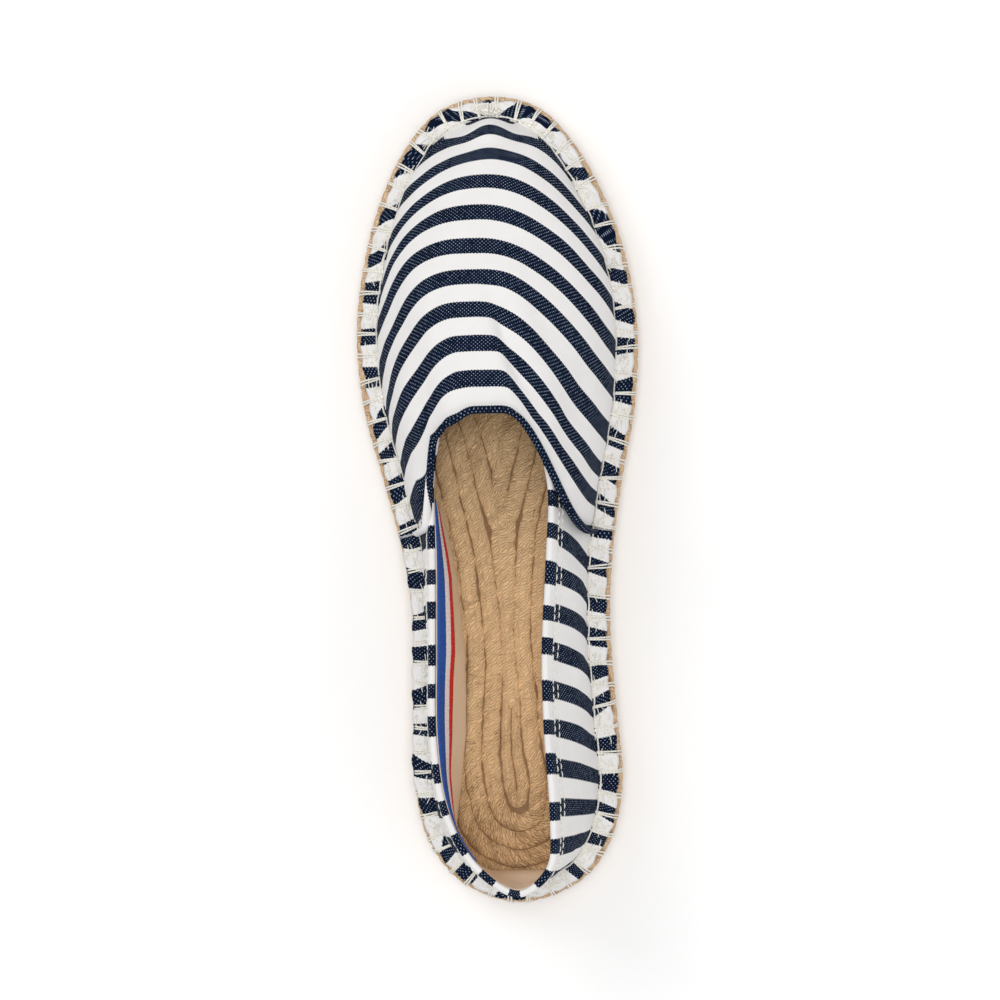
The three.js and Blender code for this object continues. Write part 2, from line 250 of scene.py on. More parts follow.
def finish_mesh(mesh, name, material, smooth=True):
    mesh.materials.append(material)
    mesh.polygons.foreach_set("use_smooth", [smooth] * len(mesh.polygons))
    piece = bpy.data.objects.new(name, mesh)
    bpy.context.scene.collection.objects.link(piece)
    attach(piece, "root")
    print(f"{name}: {len(mesh.polygons)} faces")
    return piece


def leaning(bm):
    """Positive when the faces of a cloth look away from the middle of the shoe."""
    total = 0.0
    for face in bm.faces:
        middle = face.calc_center_median()
        total += face.normal.dot(Vector((middle.x, 0, middle.z - 0.005))) * face.calc_area()
    return total


def lay_cloth(name, columns, rows, place, chart, material, inside=False, thickness=CLOTH):
    """A grid laid on the form by place(a, b), with its pattern set out by chart(a, b)."""
    bm = bmesh.new()
    bmesh.ops.create_grid(bm, x_segments=columns, y_segments=rows, size=0.5)
    bm.verts.index_update()
    flat = np.array([vert.co.xy for vert in bm.verts]) + 0.5
    points = place(flat[:, 0], flat[:, 1]) * MM
    marks = chart(flat[:, 0], flat[:, 1])
    layer = bm.loops.layers.uv.new("pattern")
    for vert, point in zip(bm.verts, points):
        vert.co = point
    for face in bm.faces:
        for loop in face.loops:
            loop[layer].uv = marks[loop.vert.index]
    bm.normal_update()
    if (leaning(bm) < 0) != inside:
        bmesh.ops.reverse_faces(bm, faces=bm.faces[:])
    piece = finish_piece(bm, name, material)
    wall = piece.modifiers.new("thickness", "SOLIDIFY")
    wall.thickness = thickness * MM
    wall.offset = -1
    return piece


# %% [markdown]
# ## Strands
# Thread, rope and loose fibre are all strands. One straight length of strand is spun from a
# circle, with its ends closed, and serves as stock: each strand of a piece bends that stock
# along its own path, and all of them are joined into one mesh. The UV map runs in
# millimetres along the strand and once round it, which is what a twist needs.

# %% Strand helpers
def strand_stock(steps, sides):
    bm = bmesh.new()
    bmesh.ops.create_circle(bm, cap_ends=False, segments=sides, radius=1.0)
    bmesh.ops.spin(bm, geom=bm.verts[:] + bm.edges[:], cent=(0, 0, 0), axis=(0, 0, 1),
                   dvec=(0, 0, 1), angle=0, steps=steps, use_duplicate=False)
    ends = [edge for edge in bm.edges if edge.is_boundary]
    bmesh.ops.holes_fill(bm, edges=ends, sides=0)
    bmesh.ops.recalc_face_normals(bm, faces=bm.faces[:])
    bm.verts.index_update()
    corners = np.array([vert.co[:] for vert in bm.verts])
    step = np.round(corners[:, 2]).astype(int)
    angle = np.arctan2(corners[:, 1], corners[:, 0]) / math.tau
    faces, turns = [], []
    for face in bm.faces:
        members = [vert.index for vert in face.verts]
        first = angle[members[0]]
        faces.append(members)
        turns.append([angle[m] + round(first - angle[m]) for m in members])
    bm.free()
    return {"step": step, "angle": angle, "faces": faces, "turns": turns}


def carried_frames(path):
    """Directions across and out of a path, carried along it without twisting."""
    ahead = np.gradient(path, axis=0)
    ahead /= np.maximum(np.linalg.norm(ahead, axis=1), 1e-9)[:, None]
    out = np.empty_like(path)
    trial = np.array([0.0, 0.0, 1.0])
    if abs(ahead[0] @ trial) > 0.9:
        trial = np.array([0.0, 1.0, 0.0])
    for index, forward in enumerate(ahead):
        trial = trial - forward * (trial @ forward)
        trial /= np.linalg.norm(trial)
        out[index] = trial
    return np.cross(ahead, out), out


def lay_strands(name, strands, stock, material):
    """Joins strands into one mesh. Each has a path and a radius, in millimetres; its radius
    may be a number or a function of (length along, angle round), and it may be flattened."""
    points, faces, marks = [], [], []
    for strand in strands:
        path = strand["path"]
        across, out = strand.get("frames") or carried_frames(path)
        run = np.concatenate([[0], np.cumsum(np.linalg.norm(np.diff(path, axis=0), axis=1))])
        step, angle = stock["step"], stock["angle"] * math.tau
        radius = strand["radius"]
        if callable(radius):
            radius = radius(run[step], angle)
        wide, tall = [np.broadcast_to(size, len(path))[step]
                      for size in strand.get("shape", (1.0, 1.0))]
        offset = (across[step] * (np.cos(angle) * wide)[:, None]
                  + out[step] * (np.sin(angle) * tall)[:, None])
        first = sum(len(block) for block in points)
        points.append(path[step] + offset * np.broadcast_to(radius, step.shape)[:, None])
        start = strand.get("start", 0.0)
        for members, turns in zip(stock["faces"], stock["turns"]):
            faces.append([first + member for member in members])
            marks.extend((run[step[member]] + start, turn)
                         for member, turn in zip(members, turns))
    mesh = bpy.data.meshes.new(name)
    mesh.from_pydata((np.vstack(points) * MM).tolist(), [], faces)
    layer = mesh.uv_layers.new(name="pattern")
    layer.data.foreach_set("uv", np.array(marks, float).ravel())
    mesh.update()
    return finish_mesh(mesh, name, material)


# %% [markdown]
# ## A small language for finishes
# A material is a formula for what each point of the surface looks like. `Value` wraps one
# number on its way through the nodes, so the formula can be written with ordinary signs, and
# `Finish` starts a material and makes every other node from its type, its settings and what
# feeds it. Only the base colour and the bump change over a surface here.

# %% The finish language
class Value:
    def __init__(self, finish, socket):
        self.finish = finish
        self.socket = socket

    def __add__(self, other):
        return self.finish.math("ADD", self, other)

    def __sub__(self, other):
        return self.finish.math("SUBTRACT", self, other)

    def __mul__(self, other):
        return self.finish.math("MULTIPLY", self, other)

    def __rsub__(self, other):
        return self.finish.math("SUBTRACT", other, self)

    def __neg__(self):
        return self.finish.math("MULTIPLY", self, -1.0)

    __radd__ = __add__
    __rmul__ = __mul__


# %% [markdown]
# ## Starting and ending a finish
# A finish starts from the principled surface, which suits cloth, jute and rubber alike once it
# is rough. Its last step feeds the colour, and turns a height into a relief.

# %% Finishes
class Finish:
    def __init__(self, name, **constants):
        self.material = bpy.data.materials.new(name)
        self.material.use_nodes = True
        self.tree = self.material.node_tree
        self.surface = self.tree.nodes["Principled BSDF"]
        for socket, value in constants.items():
            self.surface.inputs[socket.replace("_", " ")].default_value = value

    def node(self, kind, settings=None, inputs=None, out=0):
        made = self.tree.nodes.new(kind)
        for key, value in (settings or {}).items():
            setattr(made, key, value)
        for key, value in (inputs or {}).items():
            self.feed(made.inputs[key], value)
        return Value(self, made.outputs[out])

    def feed(self, socket, value):
        if isinstance(value, Value):
            self.tree.links.new(value.socket, socket)
        else:
            socket.default_value = value

    def math(self, operation, *values):
        return self.node("ShaderNodeMath", {"operation": operation}, dict(enumerate(values)))

    def parts(self, vector):
        """The x, y and z of a vector."""
        split = self.node("ShaderNodeSeparateXYZ", inputs={0: vector}).socket.node
        return [Value(self, output) for output in split.outputs]

    def pattern(self):
        """The two coordinates of the piece's own UV map."""
        return self.parts(self.node("ShaderNodeUVMap", {"uv_map": "pattern"}))[:2]

    def place(self):
        """Where the point is on the object, in metres."""
        return self.node("ShaderNodeTexCoord", out=3)

    def grain(self, scale, detail=3.0, source=None, rough=0.55):
        """Noise on the object, or on another vector."""
        return self.node("ShaderNodeTexNoise", inputs={
            "Vector": source or self.place(), "Scale": scale, "Detail": detail,
            "Roughness": rough})

    def mix(self, factor, first, second):
        made = self.tree.nodes.new("ShaderNodeMix")
        made.data_type = "RGBA"
        for index, value in ((0, factor), (6, first), (7, second)):
            if not isinstance(value, Value) and index:
                value = (*value, 1.0)
            self.feed(made.inputs[index], value)
        return Value(self, made.outputs[2])

    def wave(self, value, count):
        """A sine that swings count times for each unit of a value."""
        return self.math("SINE", value * (math.tau * count))

    def step(self, value, edge, soft):
        """0 below an edge and 1 above it, with a soft crossing."""
        return self.node("ShaderNodeMapRange", {"interpolation_type": "SMOOTHSTEP"}, {
            "Value": value, "From Min": edge - soft, "From Max": edge + soft})

    def done(self, color, height, depth, strength=1.0):
        """Feeds the surface: its colour, and a relief whose full height is depth in mm."""
        self.feed(self.surface.inputs["Base Color"], color)
        bump = self.node("ShaderNodeBump", inputs={
            "Height": height, "Distance": depth * MM, "Strength": strength})
        self.feed(self.surface.inputs["Normal"], bump)
        print("finish ready:", self.material.name)
        return self.material


# %% [markdown]
# ## Striped canvas
# The canvas is woven in broad stripes, navy and off-white, and the navy is sprinkled with
# white pin dots where a light thread comes to the face. The stripes are one unit apart in the
# UV map, so a stripe is a matter of the fraction of that coordinate. The dots stand on a grid
# turned by half a right angle. The weave itself is a small relief in both directions.

# %% Canvas finish
DOT_PITCH = 0.90


def canvas_finish(name):
    cloth = Finish(name, Roughness=0.95)
    cloth.surface.inputs["Specular IOR Level"].default_value = 0.05
    u, v = cloth.pattern()
    saw = cloth.wave(u, 12.0) * 0.008 + (cloth.grain(260.0, 2.0) - 0.5) * 0.012
    off = cloth.math("ABSOLUTE", cloth.math("FRACT", v + 0.5 + saw) - 0.5)
    navy = 1 - cloth.step(off, 0.235, 0.012)
    fine = REPEAT / (DOT_PITCH * math.sqrt(2))
    across = cloth.math("FRACT", (u + v) * fine) - 0.5
    down = cloth.math("FRACT", (u - v) * fine) - 0.5
    dot = 1 - cloth.step(across * across + down * down, 0.030, 0.020)
    bright = cloth.step(cloth.grain(700.0, 2.0), 0.45, 0.2)
    weave = cloth.wave(u, 26.0) * cloth.wave(v, 26.0)
    fade = cloth.grain(95.0, 4.0)
    deep = cloth.mix(fade, (0.002, 0.005, 0.016), (0.005, 0.012, 0.036))
    dotted = cloth.mix(dot * bright * 0.8, deep, (0.50, 0.60, 0.74))
    pale = cloth.mix(fade, (0.82, 0.80, 0.785), (0.90, 0.89, 0.88))
    thread = cloth.mix(cloth.step(weave, 0.35, 0.4) * 0.22, pale, (0.62, 0.60, 0.58))
    color = cloth.mix(navy, thread, dotted)
    relief = weave * 0.35 + dot * navy * 0.9 + cloth.grain(1500.0, 2.0) * 0.5
    return cloth.done(color, relief, 0.09, strength=0.8)


CANVAS = canvas_finish("striped_canvas")


# %% [markdown]
# ## Thread, lining and tape
# Cotton thread is twisted, so its relief is a slanting wave in the strand's own UV map, and its
# colour is darkened in the grooves of that twist as painted shade. The needle holes have the
# same finish, nearly black, as painted shade in the holes. The lining is a plain beige weave,
# and the collar tape is woven in three colours across its width.

# %% Cotton finishes
def thread_finish(name, color, shade):
    thread = Finish(name, Roughness=0.85)
    length, turn = thread.pattern()
    twist = thread.wave(length * 0.9 + turn * 2.0, 1.0)
    # painted shade: the colour turns to the shade colour in the grooves of the twist
    tint = thread.mix(thread.step(twist, -0.4, 0.6), shade, color)
    return thread.done(tint, twist, 0.05, strength=0.6)


def lining_finish():
    lining = Finish("beige_lining", Roughness=0.92)
    u, v = lining.pattern()
    weave = lining.wave(u, 22.0) * lining.wave(v, 22.0)
    tint = lining.mix(lining.grain(60.0, 4.0), (0.95, 0.77, 0.58), (1.0, 0.86, 0.68))
    return lining.done(tint, weave + lining.grain(300.0) * 1.5, 0.08, strength=0.6)


def tape_finish():
    tape = Finish("tricolour_tape", Roughness=0.8)
    run, across = tape.pattern()
    rib = tape.wave(run, 1.0)
    fray = (tape.grain(900.0, 2.0) - 0.5) * 0.05
    white = tape.step(across + fray, 0.34, 0.02)
    red = tape.step(across + fray, 0.66, 0.02)
    blue = tape.mix(tape.grain(700.0), (0.006, 0.050, 0.27), (0.020, 0.115, 0.50))
    first = tape.mix(white, blue, (1.0, 0.97, 1.0))
    tint = tape.mix(red, first, (0.85, 0.012, 0.014))
    return tape.done(tint, rib + tape.grain(900.0), 0.12, strength=0.8)


CREAM_THREAD = thread_finish("cream_thread", (0.92, 0.90, 0.84), (0.74, 0.70, 0.61))
FUZZ = thread_finish("cotton_fuzz", (0.90, 0.87, 0.80), (0.84, 0.80, 0.71))
# nearly black strands that paint the shade in needle holes and slits
HOLE_SHADE = thread_finish("needle_hole_shade", (0.05, 0.045, 0.045), (0.02, 0.02, 0.025))
LINING = lining_finish()
TAPE = tape_finish()


# %% [markdown]
# ## Jute and rubber
# Jute is spun into yarns that slant round the strand, and is dry and uneven: its fibres run
# along the twist as a noise that is stretched in that direction. Painted shade darkens the
# footbed under the vamp and at the heel, and the sides of each rope where the rows meet. Crepe
# rubber is tan, with a fine grain.

# %% Jute and rubber finishes
# Ahead of the first and behind the second, in metres, the rope is darkened with painted shade
FOREFOOT_SHADE, HEEL_SHADE = -0.012, 0.092


def jute_finish(name, dark, light, plies, slant, groove_shade=0.0, lift=0.0, end_shade=0.0):
    """Yarns that slant round the strand: plies for each millimetre and slant for each turn.
    Two amounts paint shade on it, one on the sides of the strand and one at the front and back of
    the footbed, and lift lightens it."""
    jute = Finish(name, Roughness=0.95)
    length, turn = jute.pattern()
    drift = jute.node("ShaderNodeCombineXYZ", inputs={0: length * 0.35, 1: turn * 6.0})
    stray = jute.grain(1.0, 2.0, source=drift) - 0.5
    weave = jute.step(turn, 0.196, 0.012) + jute.step(turn, 0.304, 0.012)
    phase = length * plies + turn * slant + stray * 2.6 + weave * 0.5
    yarn = jute.math("ABSOLUTE", jute.math("SINE", phase * math.pi))
    yarn = jute.math("POWER", yarn, 0.6)
    along_yarn = jute.node("ShaderNodeCombineXYZ", inputs={
        0: phase * 3.2, 1: length * 0.55 - turn * slant * 0.25})
    fibre = jute.grain(1.0, 5.0, source=along_yarn, rough=0.7)
    each = jute.node("ShaderNodeTexWhiteNoise", {"noise_dimensions": "1D"},
                     {"W": jute.math("FLOOR", phase)})
    patch = jute.grain(110.0, 3.0)
    pits = 1 - jute.step(jute.grain(1300.0, 4.0, rough=0.7), 0.42, 0.06)
    # the yarn wave is partly the jute's own tone and partly painted shade in the grooves between
    # yarns
    shade = yarn * 0.30 + fibre * 1.75 + patch * 0.5 + each * 0.22 - pits * 0.22 - 0.80 + lift
    # painted shade: the sides of the rope, away from its top, are darkened where neighbouring rows
    # meet
    rim = jute.math("ABSOLUTE", turn - 0.25)
    shade = shade - jute.step(rim, 0.20, 0.03) * groove_shade
    # painted shade: the rope darkens ahead of the forefoot line, under the vamp, and behind the
    # heel line, under the collar
    back = jute.parts(jute.place())[1]
    painted_end_shade = 2 - jute.step(back, FOREFOOT_SHADE, 0.020) - jute.step(-back, -HEEL_SHADE, 0.018)
    shade = shade - painted_end_shade * end_shade
    tint = jute.mix(jute.step(shade, 0.5, 0.5), dark, light)
    return jute.done(tint, yarn * 0.8 + fibre * 1.0, 0.45, strength=1.0)


def rubber_finish():
    rubber = Finish("crepe_rubber", Roughness=0.82)
    crepe = rubber.grain(700.0, 5.0)
    tint = rubber.mix(rubber.grain(50.0), (0.36, 0.24, 0.13), (0.47, 0.33, 0.19))
    return rubber.done(tint, crepe, 0.25, strength=0.6)


# the rope of the footbed gets painted shade on the sides of its rows and at the toe and heel
JUTE = jute_finish("jute_rope", (0.25, 0.115, 0.04), (0.97, 0.68, 0.38), 0.96, 12.0,
                   groove_shade=0.3, lift=0.24, end_shade=0.28)
RIM_JUTE = jute_finish("jute_plait", (0.45, 0.27, 0.13), (0.92, 0.66, 0.42), 0.85, 5.0)
# painted shade: the core's darker colours stand for the shade in the gaps between rows of rope
SHADED_CORE = jute_finish("jute_core_shaded", (0.16, 0.085, 0.035), (0.42, 0.27, 0.15), 0.5, 1.0)
RUBBER = rubber_finish()


# %% [markdown]
# ## Rubber outsole and the heart of the sole
# The rubber sheet is a imported solid whose form is already right, so it only gets its finish.
# The rope cannot fill every corner of the sole, so a heart of jute is kept behind it: the
# imported sole, merged and drawn in along its own normals, less so under the footbed. Its
# colour is darker than the rope's as painted shade in the gaps between the rows.

# %% Outsole and core
rubber_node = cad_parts["outsole"]
rubber_node.data.materials.clear()
rubber_node.data.materials.append(RUBBER)

CORE_DEPTH, CORE_DEPTH_ON_TOP = 2.2, 1.1
core = bmesh.new()
core.from_mesh(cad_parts["jute_sole"].data)
bmesh.ops.remove_doubles(core, verts=core.verts[:], dist=1e-5)
core.normal_update()
shallower = CORE_DEPTH - CORE_DEPTH_ON_TOP
drawn_in = [vert.co - vert.normal * (CORE_DEPTH - shallower * max(0, vert.normal.z)) * MM
            for vert in core.verts]
for vert, place in zip(core.verts, drawn_in):
    vert.co = place
core_piece = finish_piece(core, "jute_core_shaded", SHADED_CORE, smooth=False)
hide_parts("jute_sole")


# %% [markdown]
# ## The coiled rope of the footbed
# The sole is one long rope, wound flat from the middle outwards and stitched through, so seen
# from above it is a set of rows that run round each other. A row lies at a constant distance
# from the outline. To find it, rays are sent out from a line down the middle, and each is
# halved until its end stands at that distance. The slant of its yarns is left to its finish.

# %% Rows of rope
ROW = 5.75
ROPE_STEP = 0.55
ROPE_WIDE = 2.93
ROPE_TALL = 1.9
CENTRE = (OUTLINE["lateral"] + OUTLINE["medial"]) / 2


def coil_medial(along):
    """Medial limit of the coil, which keeps a little inside the outline behind the ball."""
    edge = np.interp(along, OUTLINE["along"], OUTLINE["medial"])
    return edge + 2.1 * smooth_step(110, 150, along) * (1 - smooth_step(205, 245, along))


COIL_EDGE = EDGE[::6].copy()
medial_part = COIL_EDGE[:, 0] < CENTRE.mean() - 20
shift = coil_medial(COIL_EDGE[:, 1]) - np.interp(COIL_EDGE[:, 1], OUTLINE["along"],
                                                 OUTLINE["medial"])
COIL_EDGE[:, 0] += shift * medial_part


def edge_distance(places, wall):
    gaps = places[:, None, :] - COIL_EDGE[None, :, :]
    return np.minimum(np.sqrt((gaps ** 2).sum(axis=2)).min(axis=1), wall - places[:, 1])


def coil_row(inset, near, far, wall=1e6, rays=90):
    """A closed row round the line from near to far, inset millimetres from the outline."""
    side = np.linspace(near, far, rays)
    fan = np.linspace(0, math.pi, 40)[1:-1]
    starts = np.concatenate([side, np.full(len(fan), far), side[::-1], np.full(len(fan), near)])
    angles = np.concatenate([np.zeros(rays), fan, np.full(rays, math.pi), fan + math.pi])
    origin = np.stack([np.interp(starts, OUTLINE["along"], CENTRE), starts], axis=1)
    heading = np.stack([np.cos(angles), np.sin(angles)], axis=1)
    low, high = np.zeros(len(origin)), np.full(len(origin), 70.0)
    for halving in range(22):
        middle = (low + high) / 2
        inside = edge_distance(origin + heading * middle[:, None], wall) > inset
        low, high = np.where(inside, middle, low), np.where(inside, high, middle)
    return origin + heading * low[:, None]


def even_steps(places, spacing, closed):
    """The same path again, with its points at even steps."""
    if closed:
        places = np.vstack([places, places[:1]])
    run = np.concatenate([[0], np.cumsum(np.linalg.norm(np.diff(places, axis=0), axis=1))])
    count = max(8, int(run[-1] / spacing))
    grid = np.linspace(0, run[-1], count + 1)
    return np.stack([np.interp(grid, run, places[:, axis]) for axis in range(places.shape[1])],
                    axis=1)


first_row = coil_row(ROW * 1.5, 45, 225)
print("outermost row: width", round(float(np.ptp(first_row[:, 0])), 1), "mm, length",
      round(float(np.ptp(first_row[:, 1])), 1), "mm")


# %% [markdown]
# ## One length of pressed rope
# A real rope is pressed between its neighbours and walked on, so it is nearly square in
# section, flat on top, and swells a little here and there. Its line is never quite true, so a
# slow noise moves neighbouring rows together and a smaller one moves each row by itself.

# %% Pressed rope
def rope_section(length, angle):
    """Radius of a pressed rope: nearly flat on top, with slow swellings along it."""
    square = (np.abs(np.cos(angle)) ** 2.5 + np.abs(np.sin(angle)) ** 2.5) ** (-1 / 2.5)
    lumps = np.sin(length * 1.37 + angle * 2) * 0.025 + np.sin(length * 2.9 + angle * 5) * 0.02
    return square * (1 + lumps + 0.02 * np.sin(length * 0.31))


def wander(x, along, seed):
    wide = [noise.noise(Vector((px * 0.05, py * 0.05, seed))) for px, py in zip(x, along)]
    fine = [noise.noise(Vector((px * 0.21, py * 0.21, seed + 9))) for px, py in zip(x, along)]
    return np.array(wide) * 0.9 + np.array(fine) * 0.5


def rope_strand(plan, wide, seed):
    x, along = plan.T
    path = shoe(x + wander(x, along, 3.0) + 0.15 * wander(x, along, seed), along,
                sole_top(along) - ROPE_TALL + 0.15 * wander(x, along, seed + 5))
    ahead = np.gradient(path, axis=0)
    ahead /= np.linalg.norm(ahead, axis=1)[:, None]
    up = np.tile([0.0, 0.0, 1.0], (len(path), 1))
    return {"path": path, "radius": rope_section, "shape": (wide, ROPE_TALL),
            "frames": (np.cross(ahead, up), up), "start": seed * 40.0}


print("radius of the pressed rope at its side and at its corner:",
      np.round([rope_section(0, 0), rope_section(0, math.pi / 4)], 2))


# %% [markdown]
# ## The rows down the middle
# Rows at a constant distance from the outline leave a narrow strip down the middle. The maker
# fills it with short straight rows and, at the heel, with one tight hairpin. These rows are as
# wide as the room that is left, and run a little into their neighbours, as soft rope does.

# %% Middle rows
def middle_line(along):
    lateral = np.interp(along, OUTLINE["along"], OUTLINE["lateral"])
    medial = coil_medial(along)
    return (lateral + medial) / 2, (lateral - medial) / 2


def middle_row(start, end, taken, room=None):
    """A row down the middle, as wide as the room that the loops beside it leave."""
    alongs = np.arange(start, end, ROPE_STEP)
    middle, half = middle_line(alongs)
    if room is None:
        room = np.clip(half - taken + 1.1, 1.2, 4.2)
    else:
        room = np.interp(alongs, [start, end], room)
    ends = np.clip(np.minimum(alongs - start, end - alongs) / 2.5, 0.2, 1) ** 0.5
    return np.stack([middle, alongs], axis=1), room * ends


def hairpin(start, end, taken):
    """The innermost loop at the heel, whose two legs share the room between them."""
    alongs = np.arange(start, end, ROPE_STEP)
    middle, half = middle_line(alongs)
    reach = (half - taken) / 2
    sweep = np.linspace(0, math.pi, 12)[1:-1]
    bow = np.stack([middle[-1] + reach[-1] * np.cos(sweep), end + reach[-1] * np.sin(sweep)],
                   axis=1)
    legs = [np.stack([middle + side * reach, alongs], axis=1) for side in (1, -1)]
    plan = np.vstack([legs[0], bow, legs[1][::-1]])
    wide = np.concatenate([reach, np.full(len(bow), reach[-1]), reach[::-1]]) * 1.03
    return plan, wide


rows_of_rope = [(even_steps(coil_row(ROW * (k + 0.5), 45, 225), ROPE_STEP, True), ROPE_WIDE)
                for k in (1, 2, 3, 4)]
rows_of_rope += [(even_steps(coil_row(inset, 52, 100, wall=168.6), ROPE_STEP, True), ROPE_WIDE)
                 for inset in (31.6, 37.3)]
rows_of_rope += [middle_row(62, 121, 40.4), middle_row(118.0, 133.5, 0, room=(3.6, 1.8)),
                 middle_row(132, 197, 29.6), hairpin(194, 226, 28.8)]
for index, (plan, wide) in enumerate(rows_of_rope):
    strand = rope_strand(plan, wide, index + 1.0)
    lay_strands(f"footbed_row_{index}", [strand], strand_stock(len(plan) - 1, 14), JUTE)
rope_length = sum(len(plan) for plan, wide in rows_of_rope) * ROPE_STEP / 1000
print("rope in the footbed:", round(rope_length, 2), "m")


# %% [markdown]
# ## The plait of the rim
# The last turn of the rope stands on edge and shows its plait: three strands that pass over
# and under each other in a zigzag. Its height coordinate climbs the side of the sole and
# bends over the shoulder, and each strand is a flat oval that leans with that surface.

# %% Rim plait
PLAIT_HEIGHT = 12.6
PLAIT_CYCLE = 25.0
PLAIT_BASE = RUBBER_THICKNESS + 0.2
PLAIT_MARGIN, PLAIT_DEPTH, PLAIT_SWING = 2.2, -1.9, 0.85
STRAND_WIDE, STRAND_TALL = 2.75, 1.25
edge_run = np.concatenate([[0], np.cumsum(np.linalg.norm(
    np.diff(np.vstack([EDGE, EDGE[:1]]), axis=0), axis=1))])
PERIMETER = edge_run[-1]


def turn_at(run):
    return np.interp(np.mod(run, PERIMETER), edge_run, np.linspace(0, 1, len(edge_run)))


def side_point(turn, climb, proud):
    """A point on the side of the sole, climb millimetres up from its lower edge."""
    along = edge_at(turn, 0)[..., 1]
    straight = sole_top(along) - underside(along) - SHOULDER - PLAIT_BASE
    bend = np.maximum(0, climb - straight) / SHOULDER
    reach = SHOULDER + proud
    inset = SHOULDER - reach * np.cos(bend)
    x, at = np.moveaxis(edge_at(turn, inset), -1, 0)
    low = underside(along) + PLAIT_BASE + np.minimum(climb, straight)
    return shoe(x, at, low + reach * np.sin(bend))


def plait_strand(index, cycles, steps):
    run = np.linspace(0, PERIMETER, steps + 1)
    phase = math.tau * (run / PERIMETER * cycles + index / 3)
    climb = PLAIT_HEIGHT / 2 + (PLAIT_HEIGHT / 2 - PLAIT_MARGIN) * np.sin(phase)
    proud = PLAIT_DEPTH + PLAIT_SWING * np.sin(2 * phase + math.pi / 2)
    turn = turn_at(run)
    path = side_point(turn, climb, proud)
    out = side_point(turn, climb, proud + 1.0) - path
    ahead = np.gradient(path, axis=0)
    ahead /= np.linalg.norm(ahead, axis=1)[:, None]
    out -= ahead * (out * ahead).sum(axis=1)[:, None]
    out /= np.linalg.norm(out, axis=1)[:, None]
    return {"path": path, "radius": 1.0, "shape": (STRAND_WIDE, STRAND_TALL),
            "frames": (np.cross(ahead, out), out)}


plait_steps = int(PERIMETER / 0.9)
plait_cycles = round(PERIMETER / PLAIT_CYCLE)
plait_strands = [plait_strand(index, plait_cycles, plait_steps) for index in range(3)]
lay_strands("rim_plait", plait_strands, strand_stock(plait_steps, 14), RIM_JUTE)
print("the rim's plait turns over", plait_cycles, "times in", round(PERIMETER), "mm")


# %% [markdown]
# ## The vamp
# The vamp is lasted over the front of the foot. Each row of its table is one stripe: from its
# crest it stays level for a while, then sweeps back to the seam on each side. The ridges that
# run forward from the corners of the throat, the pinch at the toe and the softer folds are
# listed as creases, each a line in the shoe's own sizes with a height and a width.

# %% Vamp form
CREASES = [
    # points as (x, along), height in mm, width in mm
    {"line": [(-14, 103), (-7.5, 88), (-3.5, 74), (0, 62)], "height": 1.8, "width": 2.8},
    {"line": [(-19, 100), (-13.5, 86), (-9.5, 72), (-6, 60)], "height": -1.2, "width": 4.5},
    {"line": [(20, 106), (21.5, 94), (23, 80)], "height": 1.0, "width": 4.0},
    {"line": [(27, 108), (28.5, 94), (30, 80)], "height": -1.0, "width": 4.5},
    {"line": [(6, 64), (-8, 60), (-20, 66)], "height": -0.5, "width": 6.0},
    {"line": [(-0.5, 8), (-0.3, 13), (0, 17)], "height": -2.2, "width": 5.0},
    {"line": [(-9, 9), (-8.5, 16)], "height": 0.8, "width": 4.0},
    {"line": [(9, 9), (8.5, 16)], "height": 0.8, "width": 4.0},
    {"line": [(-30, 84), (-26, 98), (-24, 112)], "height": 0.7, "width": 4.0},
    {"line": [(33, 60), (30, 78)], "height": 0.5, "width": 5.0},
    {"line": [(-34, 62), (-30, 76)], "height": -0.5, "width": 5.0},
]


def line_distance(x, along, line):
    best = np.full(np.shape(x), 1e9)
    taper = np.zeros(np.shape(x))
    pieces = len(line) - 1
    for index, (start, end) in enumerate(zip(line[:-1], line[1:])):
        sx, sy = end[0] - start[0], end[1] - start[1]
        t = np.clip(((x - start[0]) * sx + (along - start[1]) * sy) / (sx * sx + sy * sy), 0, 1)
        gap = np.hypot(x - start[0] - sx * t, along - start[1] - sy * t)
        nearer = gap < best
        best = np.where(nearer, gap, best)
        taper = np.where(nearer, (index + t) / pieces, taper)
    return best, taper


def crease_relief(x, along):
    relief = np.zeros(np.shape(x))
    for crease in CREASES:
        gap, taper = line_distance(x, along, crease["line"])
        fade = 0.45 + 0.55 * np.sin(math.pi * np.clip(taper, 0.02, 0.98))
        relief += crease["height"] * fade * np.exp(-(gap / crease["width"]) ** 2)
    return relief


print("creases on the vamp:", len(CREASES))


# %% [markdown]
# ## The form under the vamp
# A row crosses the foot as a rounded arch between its two ends on the seam. Seen from above it
# is level to its hinge and then sweeps back. The last row is the throat itself, which has its
# own law on each side: it turns almost square at the lateral corner and bows at the medial one.

# %% Vamp surface
def throat_law(lateral, outward):
    """How far back the throat's edge has come, from 0 on its crest to 1 at the seam."""
    corner = (0.24 * outward * smooth_step(0, 0.3, outward)
              + 0.05 * smooth_step(0.42, 0.6, outward)
              + 0.71 * smooth_step(0.61, 0.82, outward))
    bow = np.sin(np.clip((outward - 0.2) / 0.8, 0, 1) * math.pi / 2) ** 2.6
    return np.where(lateral, corner, bow)


